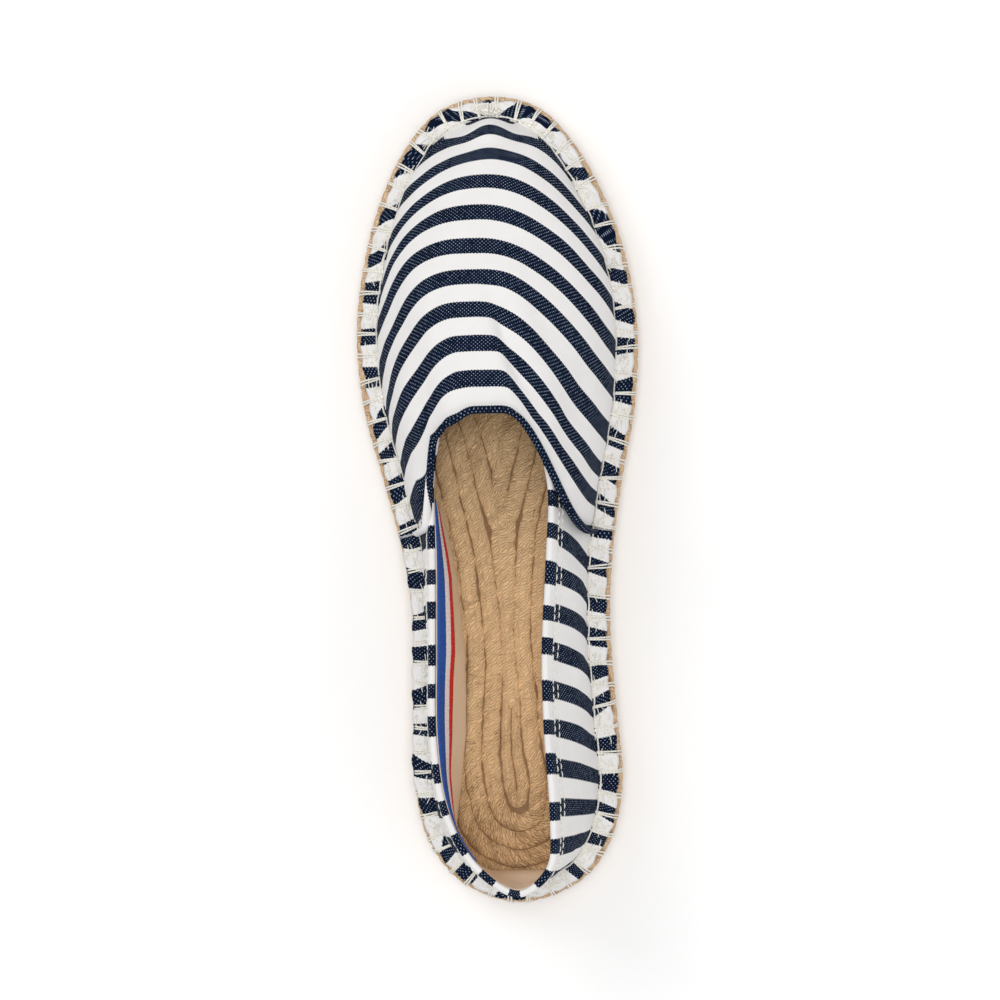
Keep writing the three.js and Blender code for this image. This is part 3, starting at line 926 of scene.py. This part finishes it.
def vamp_base(across, row):
    """Point of the vamp. across runs from 1 on the lateral seam to -1 on the medial seam."""
    def get(name):
        return column(VAMP[name], row)

    lateral = across >= 0
    reached = np.where(lateral, get("lateral"), get("medial"))
    foot = seam_at(seam_turn(np.where(lateral, 1, -1), reached))
    angle = np.abs(across) * math.pi / 2
    power = 2 / get("full")
    outward = np.sin(angle) ** power
    upward = np.maximum(np.cos(angle), 0) ** power
    hinge = np.where(lateral, get("hinge_l"), get("hinge_m"))
    sweep = np.where(lateral, get("sweep_l"), get("sweep_m"))
    over = (outward - hinge) / (1 - hinge)
    over = (over + np.sqrt(over ** 2 + 0.003)) / 2
    over = over / ((1 + math.sqrt(1.003)) / 2)
    arch = np.clip(row - 9, 0, 1) ** 1.3 * 0.8 + np.clip(row - 8, 0, 1) * 0.2
    crest = shoe(get("x"), get("crest"), get("height"))
    x = crest[:, 0] + (foot[:, 0] - crest[:, 0]) * outward
    back = over ** sweep * (1 - arch) + throat_law(lateral, outward) * arch
    y = crest[:, 1] + (foot[:, 1] - crest[:, 1]) * back
    z = foot[:, 2] + (crest[:, 2] - foot[:, 2]) * upward
    return np.stack([x, y, z], axis=1)


def surface_normals(surface, a, b, reach_a, reach_b):
    """Directions out of a surface, and its steps along a and b."""
    da = surface(a + reach_a, b) - surface(a - reach_a, b)
    db = surface(a, b + reach_b) - surface(a, b - reach_b)
    out = np.cross(da, db)
    return out / np.maximum(np.linalg.norm(out, axis=1), 1e-9)[:, None], da, db


def soft_noise(points, scale, seed):
    return np.array([noise.noise(Vector(p) * scale + Vector((seed, 0, 0))) for p in points])


throat_line = vamp_base(np.linspace(-1, 1, 81), np.full(81, float(VAMP_ROWS)))
print("throat: crest", round(float(throat_line[:, 2].max()), 1), "mm high, ends",
      round(float(np.ptp(throat_line[:, 0])), 1), "mm apart")


# %% [markdown]
# ## Laying the vamp's cloth
# The cloth goes past its last row and rolls under, which makes the hem of the throat. Every
# point is moved out by the creases and by a soft noise, but not at the seam, where the thread
# holds it. The lateral corner, where the vamp laps over the quarter, is lifted clear of it.

# %% Vamp cloth
HEM_ROLL = 0.95
HEM_FOLD = 0.35
WING_LIFT = 0.6
VAMP_END = VAMP_ROWS + 0.34


def vamp_place(a, b):
    across = 1 - 2 * a
    row = b * VAMP_END
    flat_row = np.clip(row, 0.0, VAMP_ROWS)
    across_in = np.clip(across, -0.999, 0.999)
    inner_row = np.clip(flat_row, 0.02, VAMP_ROWS - 0.02)
    base = vamp_base(across, flat_row)
    out, _, db = surface_normals(vamp_base, across_in * 0.995, inner_row, 0.004, 0.015)
    out = -out
    relief = crease_relief(base[:, 0], base[:, 1] + LENGTH / 2)
    relief += soft_noise(base, 0.045, 5.0) * 0.7 + soft_noise(base, 0.13, 9.0) * 0.22
    rim = smooth_step(0, 0.06, 1 - np.abs(across)) * smooth_step(0.0, 0.5, flat_row)
    points = base + out * (relief * rim)[:, None]
    back = db / np.maximum(np.linalg.norm(db, axis=1), 1e-9)[:, None]
    roll = np.clip((row - VAMP_ROWS) / (VAMP_END - VAMP_ROWS), 0, 1) * math.pi
    wing = WING_LIFT * smooth_step(0.4, 0.6, across)
    hem = smooth_step(9.72, 9.80, row) * (HEM_FOLD + wing)
    points += out * hem[:, None]
    points += back * (HEM_ROLL * np.sin(roll))[:, None] * (row > VAMP_ROWS)[:, None]
    points -= out * (HEM_ROLL * (1 - np.cos(roll)))[:, None]
    return points


# %% [markdown]
# ## Charting the vamp's stripes
# The UV map counts stripes one way and true lengths of cloth the other way, so that the pin
# dots stay round where the form is steep. The lengths are measured once on a coarse set of
# rows. Small terms pinch the stripes at the toe and bend them where the throat's hem turns.

# %% Vamp pattern
ARC_ACROSS, ARC_ROWS = np.linspace(-1, 1, 161), np.linspace(0, VAMP_ROWS, 21)
ARC_TABLE = []
for arc_row in ARC_ROWS:
    line = vamp_base(ARC_ACROSS, np.full(161, arc_row))
    run = np.concatenate([[0], np.cumsum(np.linalg.norm(np.diff(line, axis=0), axis=1))])
    ARC_TABLE.append(run - run[80])
ARC_TABLE = np.array(ARC_TABLE)


def arc_length(across, row):
    """Millimetres over the cloth from the middle line, along a stripe."""
    place = np.clip(row / ARC_ROWS[-1] * 20, 0, 19.999)
    low = np.floor(place).astype(int)
    rows = [np.array([np.interp(x, ARC_ACROSS, ARC_TABLE[k]) for x, k in zip(across, low + up)])
            for up in (0, 1)]
    return rows[0] + (rows[1] - rows[0]) * (place - low)


def vamp_chart(a, b):
    across = 1 - 2 * a
    row = b * VAMP_END
    pinch = 0.34 * np.exp(-(across * 3.2) ** 2) * (1 - smooth_step(0.4, 2.4, row))
    toe = 0.52 * smooth_step(0.15, 0.7, np.abs(across)) * (1 - smooth_step(0.0, 1.1, row))
    hem = 0.08 * smooth_step(9.0, 9.75, row) * (1 - smooth_step(0.40, 0.55, across))
    wing = 0.42 * smooth_step(0.40, 0.60, across) * smooth_step(8.0, 9.9, row)
    stripe = np.minimum(row, VAMP_ROWS) - pinch + toe - hem + wing
    stripe = stripe + np.maximum(row - VAMP_ROWS, 0) * 0.7
    return np.stack([arc_length(across, np.clip(row, 0, VAMP_ROWS)) / REPEAT, stripe], axis=1)


vamp = lay_cloth("vamp", 150, 160, vamp_place, vamp_chart, CANVAS)
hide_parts("upper")


# %% [markdown]
# ## The quarter
# The quarter is one strip of the same cloth that runs from one end of the vamp round the heel
# to the other. Its grid has the collar table down one side and the height of the wall up the
# other, and its top edge turns over, as the hem does. Its stripes stand up from the sole.

# %% Quarter form
FOOT_TURNS = seam_turn(COLLAR["side"], COLLAR["foot"])


def quarter_base(row, rise):
    """Point of the quarter. rise runs from 0 on the seam to 1 on the collar."""
    turn = column(FOOT_TURNS, row)
    foot = seam_at(turn)
    inward = around(EDGE_IN, turn)
    x, along, height, most = [column(COLLAR[name], row)
                              for name in ("x", "along", "height", "bulge")]
    collar = shoe(x, along, height)
    bulge = (most * np.sin(math.pi * np.clip(rise, 0, 1)))[:, None]
    points = foot + (collar - foot) * rise[:, None]
    points[:, :2] -= inward * bulge
    return points


collar_ring = quarter_base(np.linspace(0, COLLAR_ROWS, 200), np.ones(200))
print("collar:", round(float(collar_ring[:, 2].min()), 1), "to",
      round(float(collar_ring[:, 2].max()), 1), "mm high")


# %% [markdown]
# ## Laying the quarter's cloth
# The wall is not flat: a few upright folds stand where the cloth was eased onto the sole, and
# it puffs out between them. The top rolls in as the collar. Both ends are pressed in a little,
# because the corners of the vamp lap over them.

# %% Quarter cloth
COLLAR_ROLL = 1.15
QUARTER_END = 1.09
LAP_DEPTH = 1.2


def quarter_relief(points, stripe, rise):
    folds = (0.9 * np.exp(-((stripe - 17.2 - rise * 1.2) / 0.35) ** 2)
             - 0.8 * np.exp(-((stripe - 15.9 + rise * 0.6) / 0.45) ** 2)
             + 0.7 * np.exp(-((stripe - 19.6 - rise * 0.8) / 0.5) ** 2)
             - 0.6 * np.exp(-((stripe - 21.2 + rise) / 0.4) ** 2)
             + 0.6 * np.exp(-((stripe - 3.4 + rise) / 0.5) ** 2)
             - 0.6 * np.exp(-((stripe - 6.2 - rise) / 0.5) ** 2))
    puff = soft_noise(points, 0.05, 21.0) * 0.9 + soft_noise(points, 0.14, 33.0) * 0.3
    return (folds + puff) * np.sin(math.pi * np.clip(rise, 0.0, 1.0)) ** 0.7


def quarter_place(a, b):
    row = a * COLLAR_ROWS
    rise = b * QUARTER_END
    flat = np.clip(rise, 0, 1)
    base = quarter_base(row, flat)
    out, _, db = surface_normals(quarter_base, np.clip(row, 0.02, COLLAR_ROWS - 0.02),
                                 np.clip(flat, 0.02, 0.98), 0.015, 0.015)
    relief = quarter_relief(base, column(COLLAR["stripe"], row), flat)
    up = db / np.maximum(np.linalg.norm(db, axis=1), 1e-9)[:, None]
    roll = np.clip((rise - 1) / (QUARTER_END - 1), 0, 1) * math.pi
    hem = smooth_step(0.90, 0.93, rise) * 0.3
    ends = (1 - smooth_step(1.2, 2.1, row)) + smooth_step(12.6, 13.4, row)
    lapped = LAP_DEPTH * ends * np.sin(math.pi * flat) ** 0.5
    points = base + out * (relief + hem - lapped)[:, None]
    points += up * (COLLAR_ROLL * np.sin(roll))[:, None]
    points -= out * (COLLAR_ROLL * (1 - np.cos(roll)))[:, None]
    return points


def medial_slant(stripe):
    """Extra slant of the stripes on the medial wall, in repeats at its foot."""
    return 0.30 * smooth_step(12.5, 15.0, stripe)


def quarter_chart(a, b):
    row = a * COLLAR_ROWS
    rise = b * QUARTER_END
    stripe = column(COLLAR["stripe"], row)
    hem = 0.11 * smooth_step(0.905, 0.915, rise) * np.sin(stripe * 2.3 + 1)
    slant = medial_slant(stripe) * (1 - np.clip(rise, 0, 1)) ** 1.4
    return np.stack([rise * 3.0, stripe + slant + hem], axis=1)


lay_cloth("quarter", 320, 56, quarter_place, quarter_chart, CANVAS)


# %% [markdown]
# ## The hem band
# Below the seam the canvas turns outwards, lies on the shoulder of the sole and ends in a
# folded edge, which the blanket stitches draw down. Between two stitches the cloth puffs up
# and its edge swings out, so both follow the same rhythm as the stitches.

# %% Hem band
STITCHES = 84
stitch_runs = (np.arange(STITCHES) + 0.5) / STITCHES * PERIMETER


def stitch_phase(turn):
    """0 at a stitch and 1 half way to the next."""
    run = np.interp(np.mod(turn, 1.0), np.linspace(0, 1, len(edge_run)), edge_run)
    return 0.5 - 0.5 * np.cos(math.tau * (run / PERIMETER * STITCHES - 0.5))


FRONT_ROWS = np.arange(VAMP_ROWS + 1) + 0.02
FRONT_ROWS[0] = 0.55
VAMP_REACH = 139.5
TOE_RUN = np.array([0.0, 6.0, 12.0]) / PERIMETER
TOE_STRIPE = np.array([-0.25, 0.0, 0.42])
FRONT_TURNS = np.concatenate([
    TOE_RUN, seam_turn(1, VAMP["lateral"]), seam_turn(-1, VAMP["medial"])[::-1],
    1 - TOE_RUN[::-1]])
FRONT_STRIPES = np.concatenate([TOE_STRIPE, FRONT_ROWS, FRONT_ROWS[::-1], TOE_STRIPE[::-1]])


def stripe_at_seam(turn):
    """Stripe number of the cloth above the seam."""
    turn = np.mod(turn, 1.0)
    along = edge_at(turn, SEAM_INSET)[:, 1]
    front = np.interp(turn, FRONT_TURNS, FRONT_STRIPES)
    back = np.interp(turn, FOOT_TURNS, COLLAR["stripe"])
    back = back + medial_slant(back)
    return np.where(along < VAMP_REACH, front, back)


print("stitches:", STITCHES, "one every", round(PERIMETER / STITCHES, 1), "mm")


# %% [markdown]
# ## Laying the hem band
# The band is a ring of cloth. Its outer edge is folded under, comes nearer to the edge of the
# sole at the waist, and wanders a little, as a hem turned by hand does.

# %% Band cloth
BAND_WIDE = 7.0
BAND_PUFF = 0.55
FOLD_SHARE, FOLD_REACH, FOLD_DEPTH = 0.12, 0.7, 0.6


def band_height(turn, inset):
    along = edge_at(turn, inset)[:, 1]
    across = np.clip((inset - 0.6) / BAND_WIDE, 0, 1)
    puff = stitch_phase(turn) * BAND_PUFF * np.sin(math.pi * across)
    return shoulder_height(along, inset, 0.5 + CLOTH) + puff


def band_edge(turn):
    """How far inside the outline the folded edge of the hem lies."""
    run = np.mod(turn, 1.0) * len(edge_run)
    lateral = 0.5 + 0.5 * np.sin(math.tau * np.mod(turn, 1.0))
    waist = np.exp(-((np.mod(turn, 1.0) - 0.335) / 0.075) ** 2)
    wander_by = 0.25 * np.sin(run * 0.031) + 0.2 * np.sin(run * 0.0137 + 2)
    return 2.0 + 1.0 * lateral - 2.2 * waist + wander_by - 0.55 * stitch_phase(turn)


def band_place(a, b):
    turn = a
    edge = band_edge(turn)
    spread = np.clip((b - FOLD_SHARE) / (1 - FOLD_SHARE), 0, 1)
    inset = edge + (SEAM_INSET + 0.7 - edge) * spread
    x, along = np.moveaxis(edge_at(turn, inset), -1, 0)
    points = shoe(x, along, band_height(turn, inset))
    under = np.clip((FOLD_SHARE - b) / FOLD_SHARE, 0, 1) * math.pi
    points[:, :2] -= around(EDGE_IN, turn) * (FOLD_REACH * np.sin(under))[:, None]
    points[:, 2] -= FOLD_DEPTH * (1 - np.cos(under))
    return points


def band_chart(a, b):
    outward = (1 - b) * BAND_WIDE / REPEAT
    facing = -around(EDGE_IN, a)[:, 1]
    along = edge_at(a, SEAM_INSET)[:, 1]
    slant = np.where(along < VAMP_REACH, np.maximum(0, -facing) + 0.22, 0.0)
    slant = slant + 0.35 * np.sin(a * 61.0) + 0.2 * np.sin(a * 147.0)
    drift = 0.07 * np.sin(a * 93.0 + 1) + 0.05 * np.sin(a * 211.0)
    return np.stack([outward, stripe_at_seam(a) + drift - outward * slant], axis=1)


lay_cloth("hem_band", 1008, 14, band_place, band_chart, CANVAS)


# %% [markdown]
# ## Lining and collar tape
# Inside the quarter a plain lining falls from the collar to the footbed, and the tape is sewn
# over its upper edge. Both follow the quarter's own surface at a small distance inside it. On
# the lateral side they have worked loose and hang inwards, by a table with a row for each
# place along the collar. At the heel the lining stops in a straight line over the footbed.

# %% Lining and tape
TAPE_FALL = table("rise inward", (0.58, 4.3), (0.71, 3.5), (0.86, 2.2), (1.0, 0.0))
FOOT_FALL = table("rise inward", (-0.1, 1.6), (0.1, 1.6), (0.3, 0.9), (0.58, 0.0))

# How loosely the lining hangs along the lateral wall, at the tape and below it
SLACK = table(
    "row tape foot", (1.2, 0, 0), (1.5, 0.2, 0.1), (1.85, 0.55, 0.3), (2.2, 0.9, 0.5),
    (3, 1.15, 1.5), (3.5, 1.0, 2.2), (4, 0.75, 2.6), (4.6, 0.4, 1.8), (5.05, 0.2, 0.6), (5.6, 0, 0),
)
HEEL_STOP = 249.0
LINING_GAP = 2.1
FOOT_TUCK = 0.6
FLOOR_GAP = 0.6


def inside_quarter(row, rise, depth):
    """A surface inside the quarter. On the lateral side it hangs loose from the collar."""
    base = quarter_base(row, rise)
    collar = quarter_base(row, np.ones(len(row)))
    inward = around(EDGE_IN, column(FOOT_TURNS, row))
    lateral = smooth_step(0.7, 1.5, row) * (1 - smooth_step(4.7, 5.9, row))
    fall = sum(np.interp(row, SLACK["row"], SLACK[part])
               * np.interp(rise, curve["rise"], curve["inward"])
               for part, curve in (("tape", TAPE_FALL), ("foot", FOOT_FALL)))
    wave = soft_noise(base, 0.045, 50.0) * 0.8 * np.sin(math.pi * np.clip(rise, 0, 1))
    points = base.copy()
    points[:, :2] += (collar[:, :2] - base[:, :2]) * lateral[:, None]
    tucked = FOOT_TUCK * (1 - lateral) * (1 - rise)
    offset = LINING_GAP + depth + fall + wave - tucked
    points[:, :2] += inward * offset[:, None]
    stop = np.minimum(points[:, 1], HEEL_STOP - LENGTH / 2)
    low = 1 - smooth_step(0.15, 0.45, rise)
    points[:, 1] += (stop - points[:, 1]) * low
    floor = sole_top(points[:, 1] + LENGTH / 2) + FLOOR_GAP
    points[:, 2] = np.maximum(points[:, 2], floor)
    return points


def lining_place(a, b):
    return inside_quarter(0.25 + a * (COLLAR_ROWS - 0.5), b - 0.02, 0.0)


def lining_chart(a, b):
    return np.stack([a * 28, b * 3], axis=1)


lay_cloth("lining", 240, 24, lining_place, lining_chart, LINING, inside=True,
          thickness=0.5)

TAPE_LOW = 0.58


def lay_tape(name, first, last, high, depth):
    def place(a, b):
        rise = TAPE_LOW + b * (high - TAPE_LOW)
        return inside_quarter(first + a * (last - first), rise, depth)

    def chart(a, b):
        return np.stack([a * (last - first) * 22.0, 1 - b], axis=1)

    return lay_cloth(name, 150, 10, place, chart, TAPE, inside=True, thickness=0.3)


lay_tape("collar_tape_lateral", 1.25, 6.0, 0.99, 0.45)
lay_tape("collar_tape_medial", 7.8, COLLAR_ROWS - 0.3, 0.93, -0.2)


# %% [markdown]
# ## Blanket stitches
# A thick cotton thread runs along the seam from hole to hole. At every hole it also goes out
# over the hem, twice side by side, and down into the jute. Both kinds of strand follow the top
# of the hem band, and dip where they go into a hole or into the rope.

# %% Thread paths
THREAD = 0.29


def over_band(turn, inset, lift):
    """A point lying on the hem band, or down the side of the sole outside it."""
    x, along = np.moveaxis(edge_at(turn, inset), -1, 0)
    return shoe(x, along, band_height(turn, np.maximum(inset, 0.2)) + lift)


def spanning_strand(run, slide, lean):
    """One thread from its hole over the hem and down into the rim."""
    t = np.linspace(0, 1, 21)
    inset = SEAM_INSET + 0.3 - (SEAM_INSET + 0.3) * smooth_step(0, 0.85, t)
    turn = turn_at(run + slide * (0.35 + 0.65 * t) + lean * t)
    path = over_band(turn, inset, THREAD * 0.9)
    along = path[:, 1] + LENGTH / 2
    edge = band_edge(turn)
    down = smooth_step(0.0, 1.0, np.clip((edge + 0.2 - inset) / (edge + 0.2), 0, 1))
    rim = shoulder_height(along, np.maximum(inset, 0.0), 0.35)
    path[:, 2] = path[:, 2] * (1 - down) + (rim - 3.0 * smooth_step(0.8, 1.0, t)) * down
    dip = np.exp(-(t / 0.05) ** 2) * 1.2
    path[:, 2] -= dip
    ends = smooth_step(0.93, 1.0, t)
    path[:, :2] += around(EDGE_IN, turn) * (ends * 0.9)[:, None]
    return {"path": path, "radius": THREAD}


def seam_strand(run_from, run_to, bow):
    t = np.linspace(0, 1, 21)
    turn = turn_at(run_from + (run_to - run_from) * t)
    inset = SEAM_INSET - 0.25 - bow * np.sin(math.pi * t)
    path = over_band(turn, inset, THREAD * 0.9)
    dip = np.exp(-(t / 0.06) ** 2) + np.exp(-((1 - t) / 0.06) ** 2)
    path[:, 2] -= dip * 0.9
    return {"path": path, "radius": THREAD * 0.95}


middle_stitch = spanning_strand(PERIMETER / 4, 0.0, 0.0)["path"]
print("one thread over the hem drops", round(float(np.ptp(middle_stitch[:, 2])), 1), "mm")


# %% [markdown]
# ## Sewing round the sole
# No two stitches by hand are alike, so each is moved and leaned a little by one seeded random
# generator, which the later threads go on drawing from. The needle holes are short dark strands
# sunk in the cloth, which paint the shade in the holes. All strands of a kind share one length
# of stock and become one mesh.

# %% Blanket stitches
rng = np.random.default_rng(7)
stitch_strands = []
for index in range(STITCHES):
    run = float(stitch_runs[index])
    run += rng.uniform(-0.5, 0.5)
    lean = rng.uniform(-2.0, 2.0)
    for side in (-0.5, 0.5):
        stitch_strands.append(spanning_strand(run, side * rng.uniform(0.7, 1.5), lean))
    following = run + PERIMETER / STITCHES
    stitch_strands.append(seam_strand(run, following, rng.uniform(-0.1, 0.5)))
# painted shade: short dark strands at each needle hole
hole_shade_strands = []
for index in range(STITCHES):
    t = np.linspace(-1, 1, 5)
    turn = turn_at(stitch_runs[index] + t * rng.uniform(0.5, 1.1) + rng.uniform(-0.5, 0.5))
    path = over_band(turn, SEAM_INSET - 0.1 + t * rng.uniform(-0.5, 0.5), -0.12)
    hole_shade_strands.append({"path": path, "radius": rng.uniform(0.25, 0.5)})
lay_strands("needle_hole_shade", hole_shade_strands, strand_stock(4, 8), HOLE_SHADE)
lay_strands("blanket_stitches", stitch_strands, strand_stock(20, 8), CREAM_THREAD)
print("strands of thread along the seam:", len(stitch_strands))


# %% [markdown]
# ## Collar topstitching
# Two lines of fine machine stitches hold the turned collar. Each stitch is a short strand with
# its ends dipped into the cloth, laid on the quarter's own surface.

# %% Topstitching
STITCH_PITCH, STITCH_LENGTH = 2.5, 1.8


def collar_stitch(row, length_rows, rise):
    t = np.linspace(0, 1, 7)
    rows = row + length_rows * t
    rises = np.full(7, rise)
    flat = quarter_place(rows / COLLAR_ROWS, rises / QUARTER_END)
    out, _, _ = surface_normals(quarter_base, rows, rises, 0.015, 0.015)
    lift = 0.28 * np.sin(math.pi * t) ** 0.5 - 0.12
    return {"path": flat + out * lift[:, None], "radius": 0.2}


collar_line = quarter_base(np.linspace(0, COLLAR_ROWS, 800), np.full(800, 0.93))
collar_run = np.concatenate([[0], np.cumsum(np.linalg.norm(np.diff(collar_line, axis=0), axis=1))])
top_strands = []
for rise, shift in ((0.925, 0.0), (0.845, 0.9)):
    for start in np.arange(4.0 + shift, collar_run[-1] - 4, STITCH_PITCH):
        first, last = np.interp([start, start + STITCH_LENGTH], collar_run,
                                np.linspace(0, COLLAR_ROWS, 800))
        top_strands.append(collar_stitch(first, last - first, rise))
lay_strands("collar_topstitching", top_strands, strand_stock(6, 6), CREAM_THREAD)
print("machine stitches round the collar:", len(top_strands))


# %% [markdown]
# ## The fan of threads at the toe
# Where the maker starts and ends the blanket stitch, a small fan of threads is drawn from
# one point of the seam over the hem to the tip of the sole.

# %% Toe fan
FAN_THREADS = 15
half_fan = (FAN_THREADS - 1) / 2
fan_strands = []
for index in range(FAN_THREADS):
    spread = (index - half_fan) / half_fan
    t = np.linspace(0, 1, 21)
    inset = SEAM_INSET - 0.2 - (SEAM_INSET - 3.2 + rng.uniform(-1.6, 1.2)) * t
    run = spread * (0.8 + 4.6 * t) + rng.uniform(-0.4, 0.4)
    path = over_band(turn_at(run), inset, 0.35 + 0.5 * np.sin(math.pi * t))
    path[:, 2] -= (np.exp(-(t / 0.06) ** 2) * 0.9 + np.exp(-((1 - t) / 0.08) ** 2) * 1.4)
    fan_strands.append({"path": path, "radius": 0.24})
lay_strands("toe_thread_fan", fan_strands, strand_stock(20, 7), CREAM_THREAD)


# %% [markdown]
# ## The bar tack
# The lateral corner of the vamp carries the most strain, so it is held by a hurried zigzag of
# white thread, with dark strands between its stitches that paint the shade in the slits where
# the needle has opened the cloth. The strands of both lie on the vamp's own surface, a little
# above it, and take turns along it.

# %% Bar tack
TACK_STRANDS = 30


def strand_on(surface, start, end, lift, radius, steps=8, bow=0.0, dip=0.3):
    """A strand laid on a surface from one place on it to another."""
    t = np.linspace(0, 1, steps + 1)
    a = start[0] + (end[0] - start[0]) * t
    b = start[1] + (end[1] - start[1]) * t
    path = surface(a, b)
    inner_a, inner_b = np.clip(a, 0.01, 0.99), np.clip(b, 0.01, 0.99)
    out, _, _ = surface_normals(surface, inner_a, inner_b, 0.002, 0.002)
    away = out[:, 0] * path[:, 0] + out[:, 2] * (path[:, 2] - 5)
    out *= np.sign(away)[:, None]
    rise = lift + bow * np.sin(math.pi * t) - dip * (np.abs(2 * t - 1) ** 8)
    return {"path": path + out * rise[:, None], "radius": radius}


tack_strands, slit_shade_strands = [], []
for index in range(TACK_STRANDS):
    low, high = 9.74 + rng.uniform(0, 0.12), 9.95 + rng.uniform(0, 0.10)
    side = 0.145 + 0.0035 * index + rng.uniform(-0.006, 0.006)
    ends = [(side, low / VAMP_END), (side + rng.uniform(0.015, 0.035), high / VAMP_END)]
    # every other strand is a dark one that paints the shade in a slit of the cloth
    strands, size = (tack_strands, 0.2) if index % 2 else (slit_shade_strands, 0.15)
    strands.append(strand_on(vamp_place, *ends, 0.16, size, bow=0.15))
lay_strands("bar_tack", tack_strands, strand_stock(8, 6), CREAM_THREAD)
lay_strands("bar_tack_slit_shade", slit_shade_strands, strand_stock(8, 6), HOLE_SHADE)
print("strands of the bar tack:", len(tack_strands), "slits:", len(slit_shade_strands))


# %% [markdown]
# ## Rubbed cotton on the hem
# Wear lifts the ends of the cotton into a short fuzz, which shows where the hem is white. Hairs
# are scattered over the band at random, and those that would stand on a navy stripe are left
# out: the band's own chart tells which stripe a place is on.

# %% Hem fuzz
FUZZ_HAIRS = 1100
NAVY_HALF = 0.29
fuzz_strands = []
while len(fuzz_strands) < FUZZ_HAIRS:
    turn = rng.uniform(0, 1)
    height = rng.uniform(0.2, 0.95)
    stripe = band_chart(np.array([turn]), np.array([height]))[0, 1]
    if abs((stripe + 0.5) % 1 - 0.5) < NAVY_HALF:
        continue
    end = (turn + rng.normal(0, 0.0035), height + rng.uniform(-0.22, 0.22))
    end = (end[0], min(max(end[1], 0.14), 1.0))
    fuzz_strands.append(strand_on(band_place, (turn, height), end, 0.04, 0.15, 6,
                                  rng.uniform(0.0, 0.3)))
lay_strands("hem_fuzz", fuzz_strands, strand_stock(6, 4), FUZZ)


# %% [markdown]
# ## Loose fibres
# Jute sheds. A few of its fibres have come loose from the footbed and lie across the rows of
# rope, so each is one thin strand over the top of the sole, bowed up in its middle.

# %% Loose fibres
LOOSE_FIBRES = 150


def footbed_place(x, along):
    return shoe(x, along, sole_top(along) + 0.15)


fibre_strands = []
for index in range(LOOSE_FIBRES):
    along = rng.uniform(95, 246)
    x = rng.uniform(-24, 18)
    heading, reach = rng.uniform(0, math.pi), rng.uniform(2, 6)
    end = (x + math.cos(heading) * reach, along + math.sin(heading) * reach)
    fibre_strands.append(strand_on(footbed_place, (x, along), end, 0.0, 0.05, 6,
                                   rng.uniform(0.0, 0.6)))
lay_strands("loose_fibres", fibre_strands, strand_stock(6, 4), JUTE)


# %% [markdown]
# ## Floor and light
# A pale floor without an edge and large soft lights give the even look of a studio table. The
# floor lies a hair under the sole, so that the two never share a plane.

# %% Stage
def pale_floor():
    bm = bmesh.new()
    bmesh.ops.create_grid(bm, x_segments=1, y_segments=1, size=3.0)
    mesh = bpy.data.meshes.new("floor")
    bm.to_mesh(mesh)
    bm.free()
    paper = Finish("pale_floor", Roughness=0.9)
    paper.surface.inputs["Base Color"].default_value = (1.0, 1.0, 1.0, 1)
    mesh.materials.append(paper.material)
    floor = bpy.data.objects.new("floor", mesh)
    floor.location.z = -0.0002
    bpy.context.scene.collection.objects.link(floor)


def soft_light(name, place, size, power):
    lamp = bpy.data.lights.new(name, "AREA")
    lamp.shape, lamp.size, lamp.energy = "SQUARE", size, power
    light = bpy.data.objects.new(name, lamp)
    light.location = place
    light.rotation_euler = (-Vector(place)).to_track_quat("-Z", "Y").to_euler()
    bpy.context.scene.collection.objects.link(light)


pale_floor()
soft_light("overhead", (-0.05, 0.0, 1.9), 0.7, 15)
soft_light("key", (0.9, -0.9, 1.3), 0.8, 6)
soft_light("fill", (-1.0, 0.6, 1.3), 1.4, 3)
world = bpy.data.worlds.new("studio")
world.use_nodes = True
world.node_tree.nodes["Background"].inputs[0].default_value = (1, 1, 1, 1)
world.node_tree.nodes["Background"].inputs[1].default_value = 0.47
bpy.context.scene.world = world
bpy.context.scene.view_settings.view_transform = "Standard"


# %% [markdown]
# ## Camera
# The camera looks almost straight down, from a little over the medial side, with the toe at the
# top. A long lens keeps the sole's true outline, and a slight roll lets the shoe lie at ease.

# %% Camera
CAMERA_PLACE = Vector((-0.0544, -0.0039, 1.2))
AIM = Vector((0.0, 0.0, 0.02))
ROLL = math.radians(1.6)
LENS = 132.5
back = (CAMERA_PLACE - AIM).normalized()
image_up = Vector((-math.sin(ROLL), -math.cos(ROLL), 0))
right = image_up.cross(back).normalized()
up = back.cross(right)
camera_data = bpy.data.cameras.new("camera")
camera_data.lens = LENS
camera = bpy.data.objects.new("camera", camera_data)
turned = Matrix((right, up, back)).transposed().to_4x4()
camera.matrix_world = Matrix.Translation(CAMERA_PLACE) @ turned
bpy.context.scene.collection.objects.link(camera)
bpy.context.scene.camera = camera
print("camera is", round((CAMERA_PLACE - AIM).length, 3), "m away, lens", LENS, "mm")


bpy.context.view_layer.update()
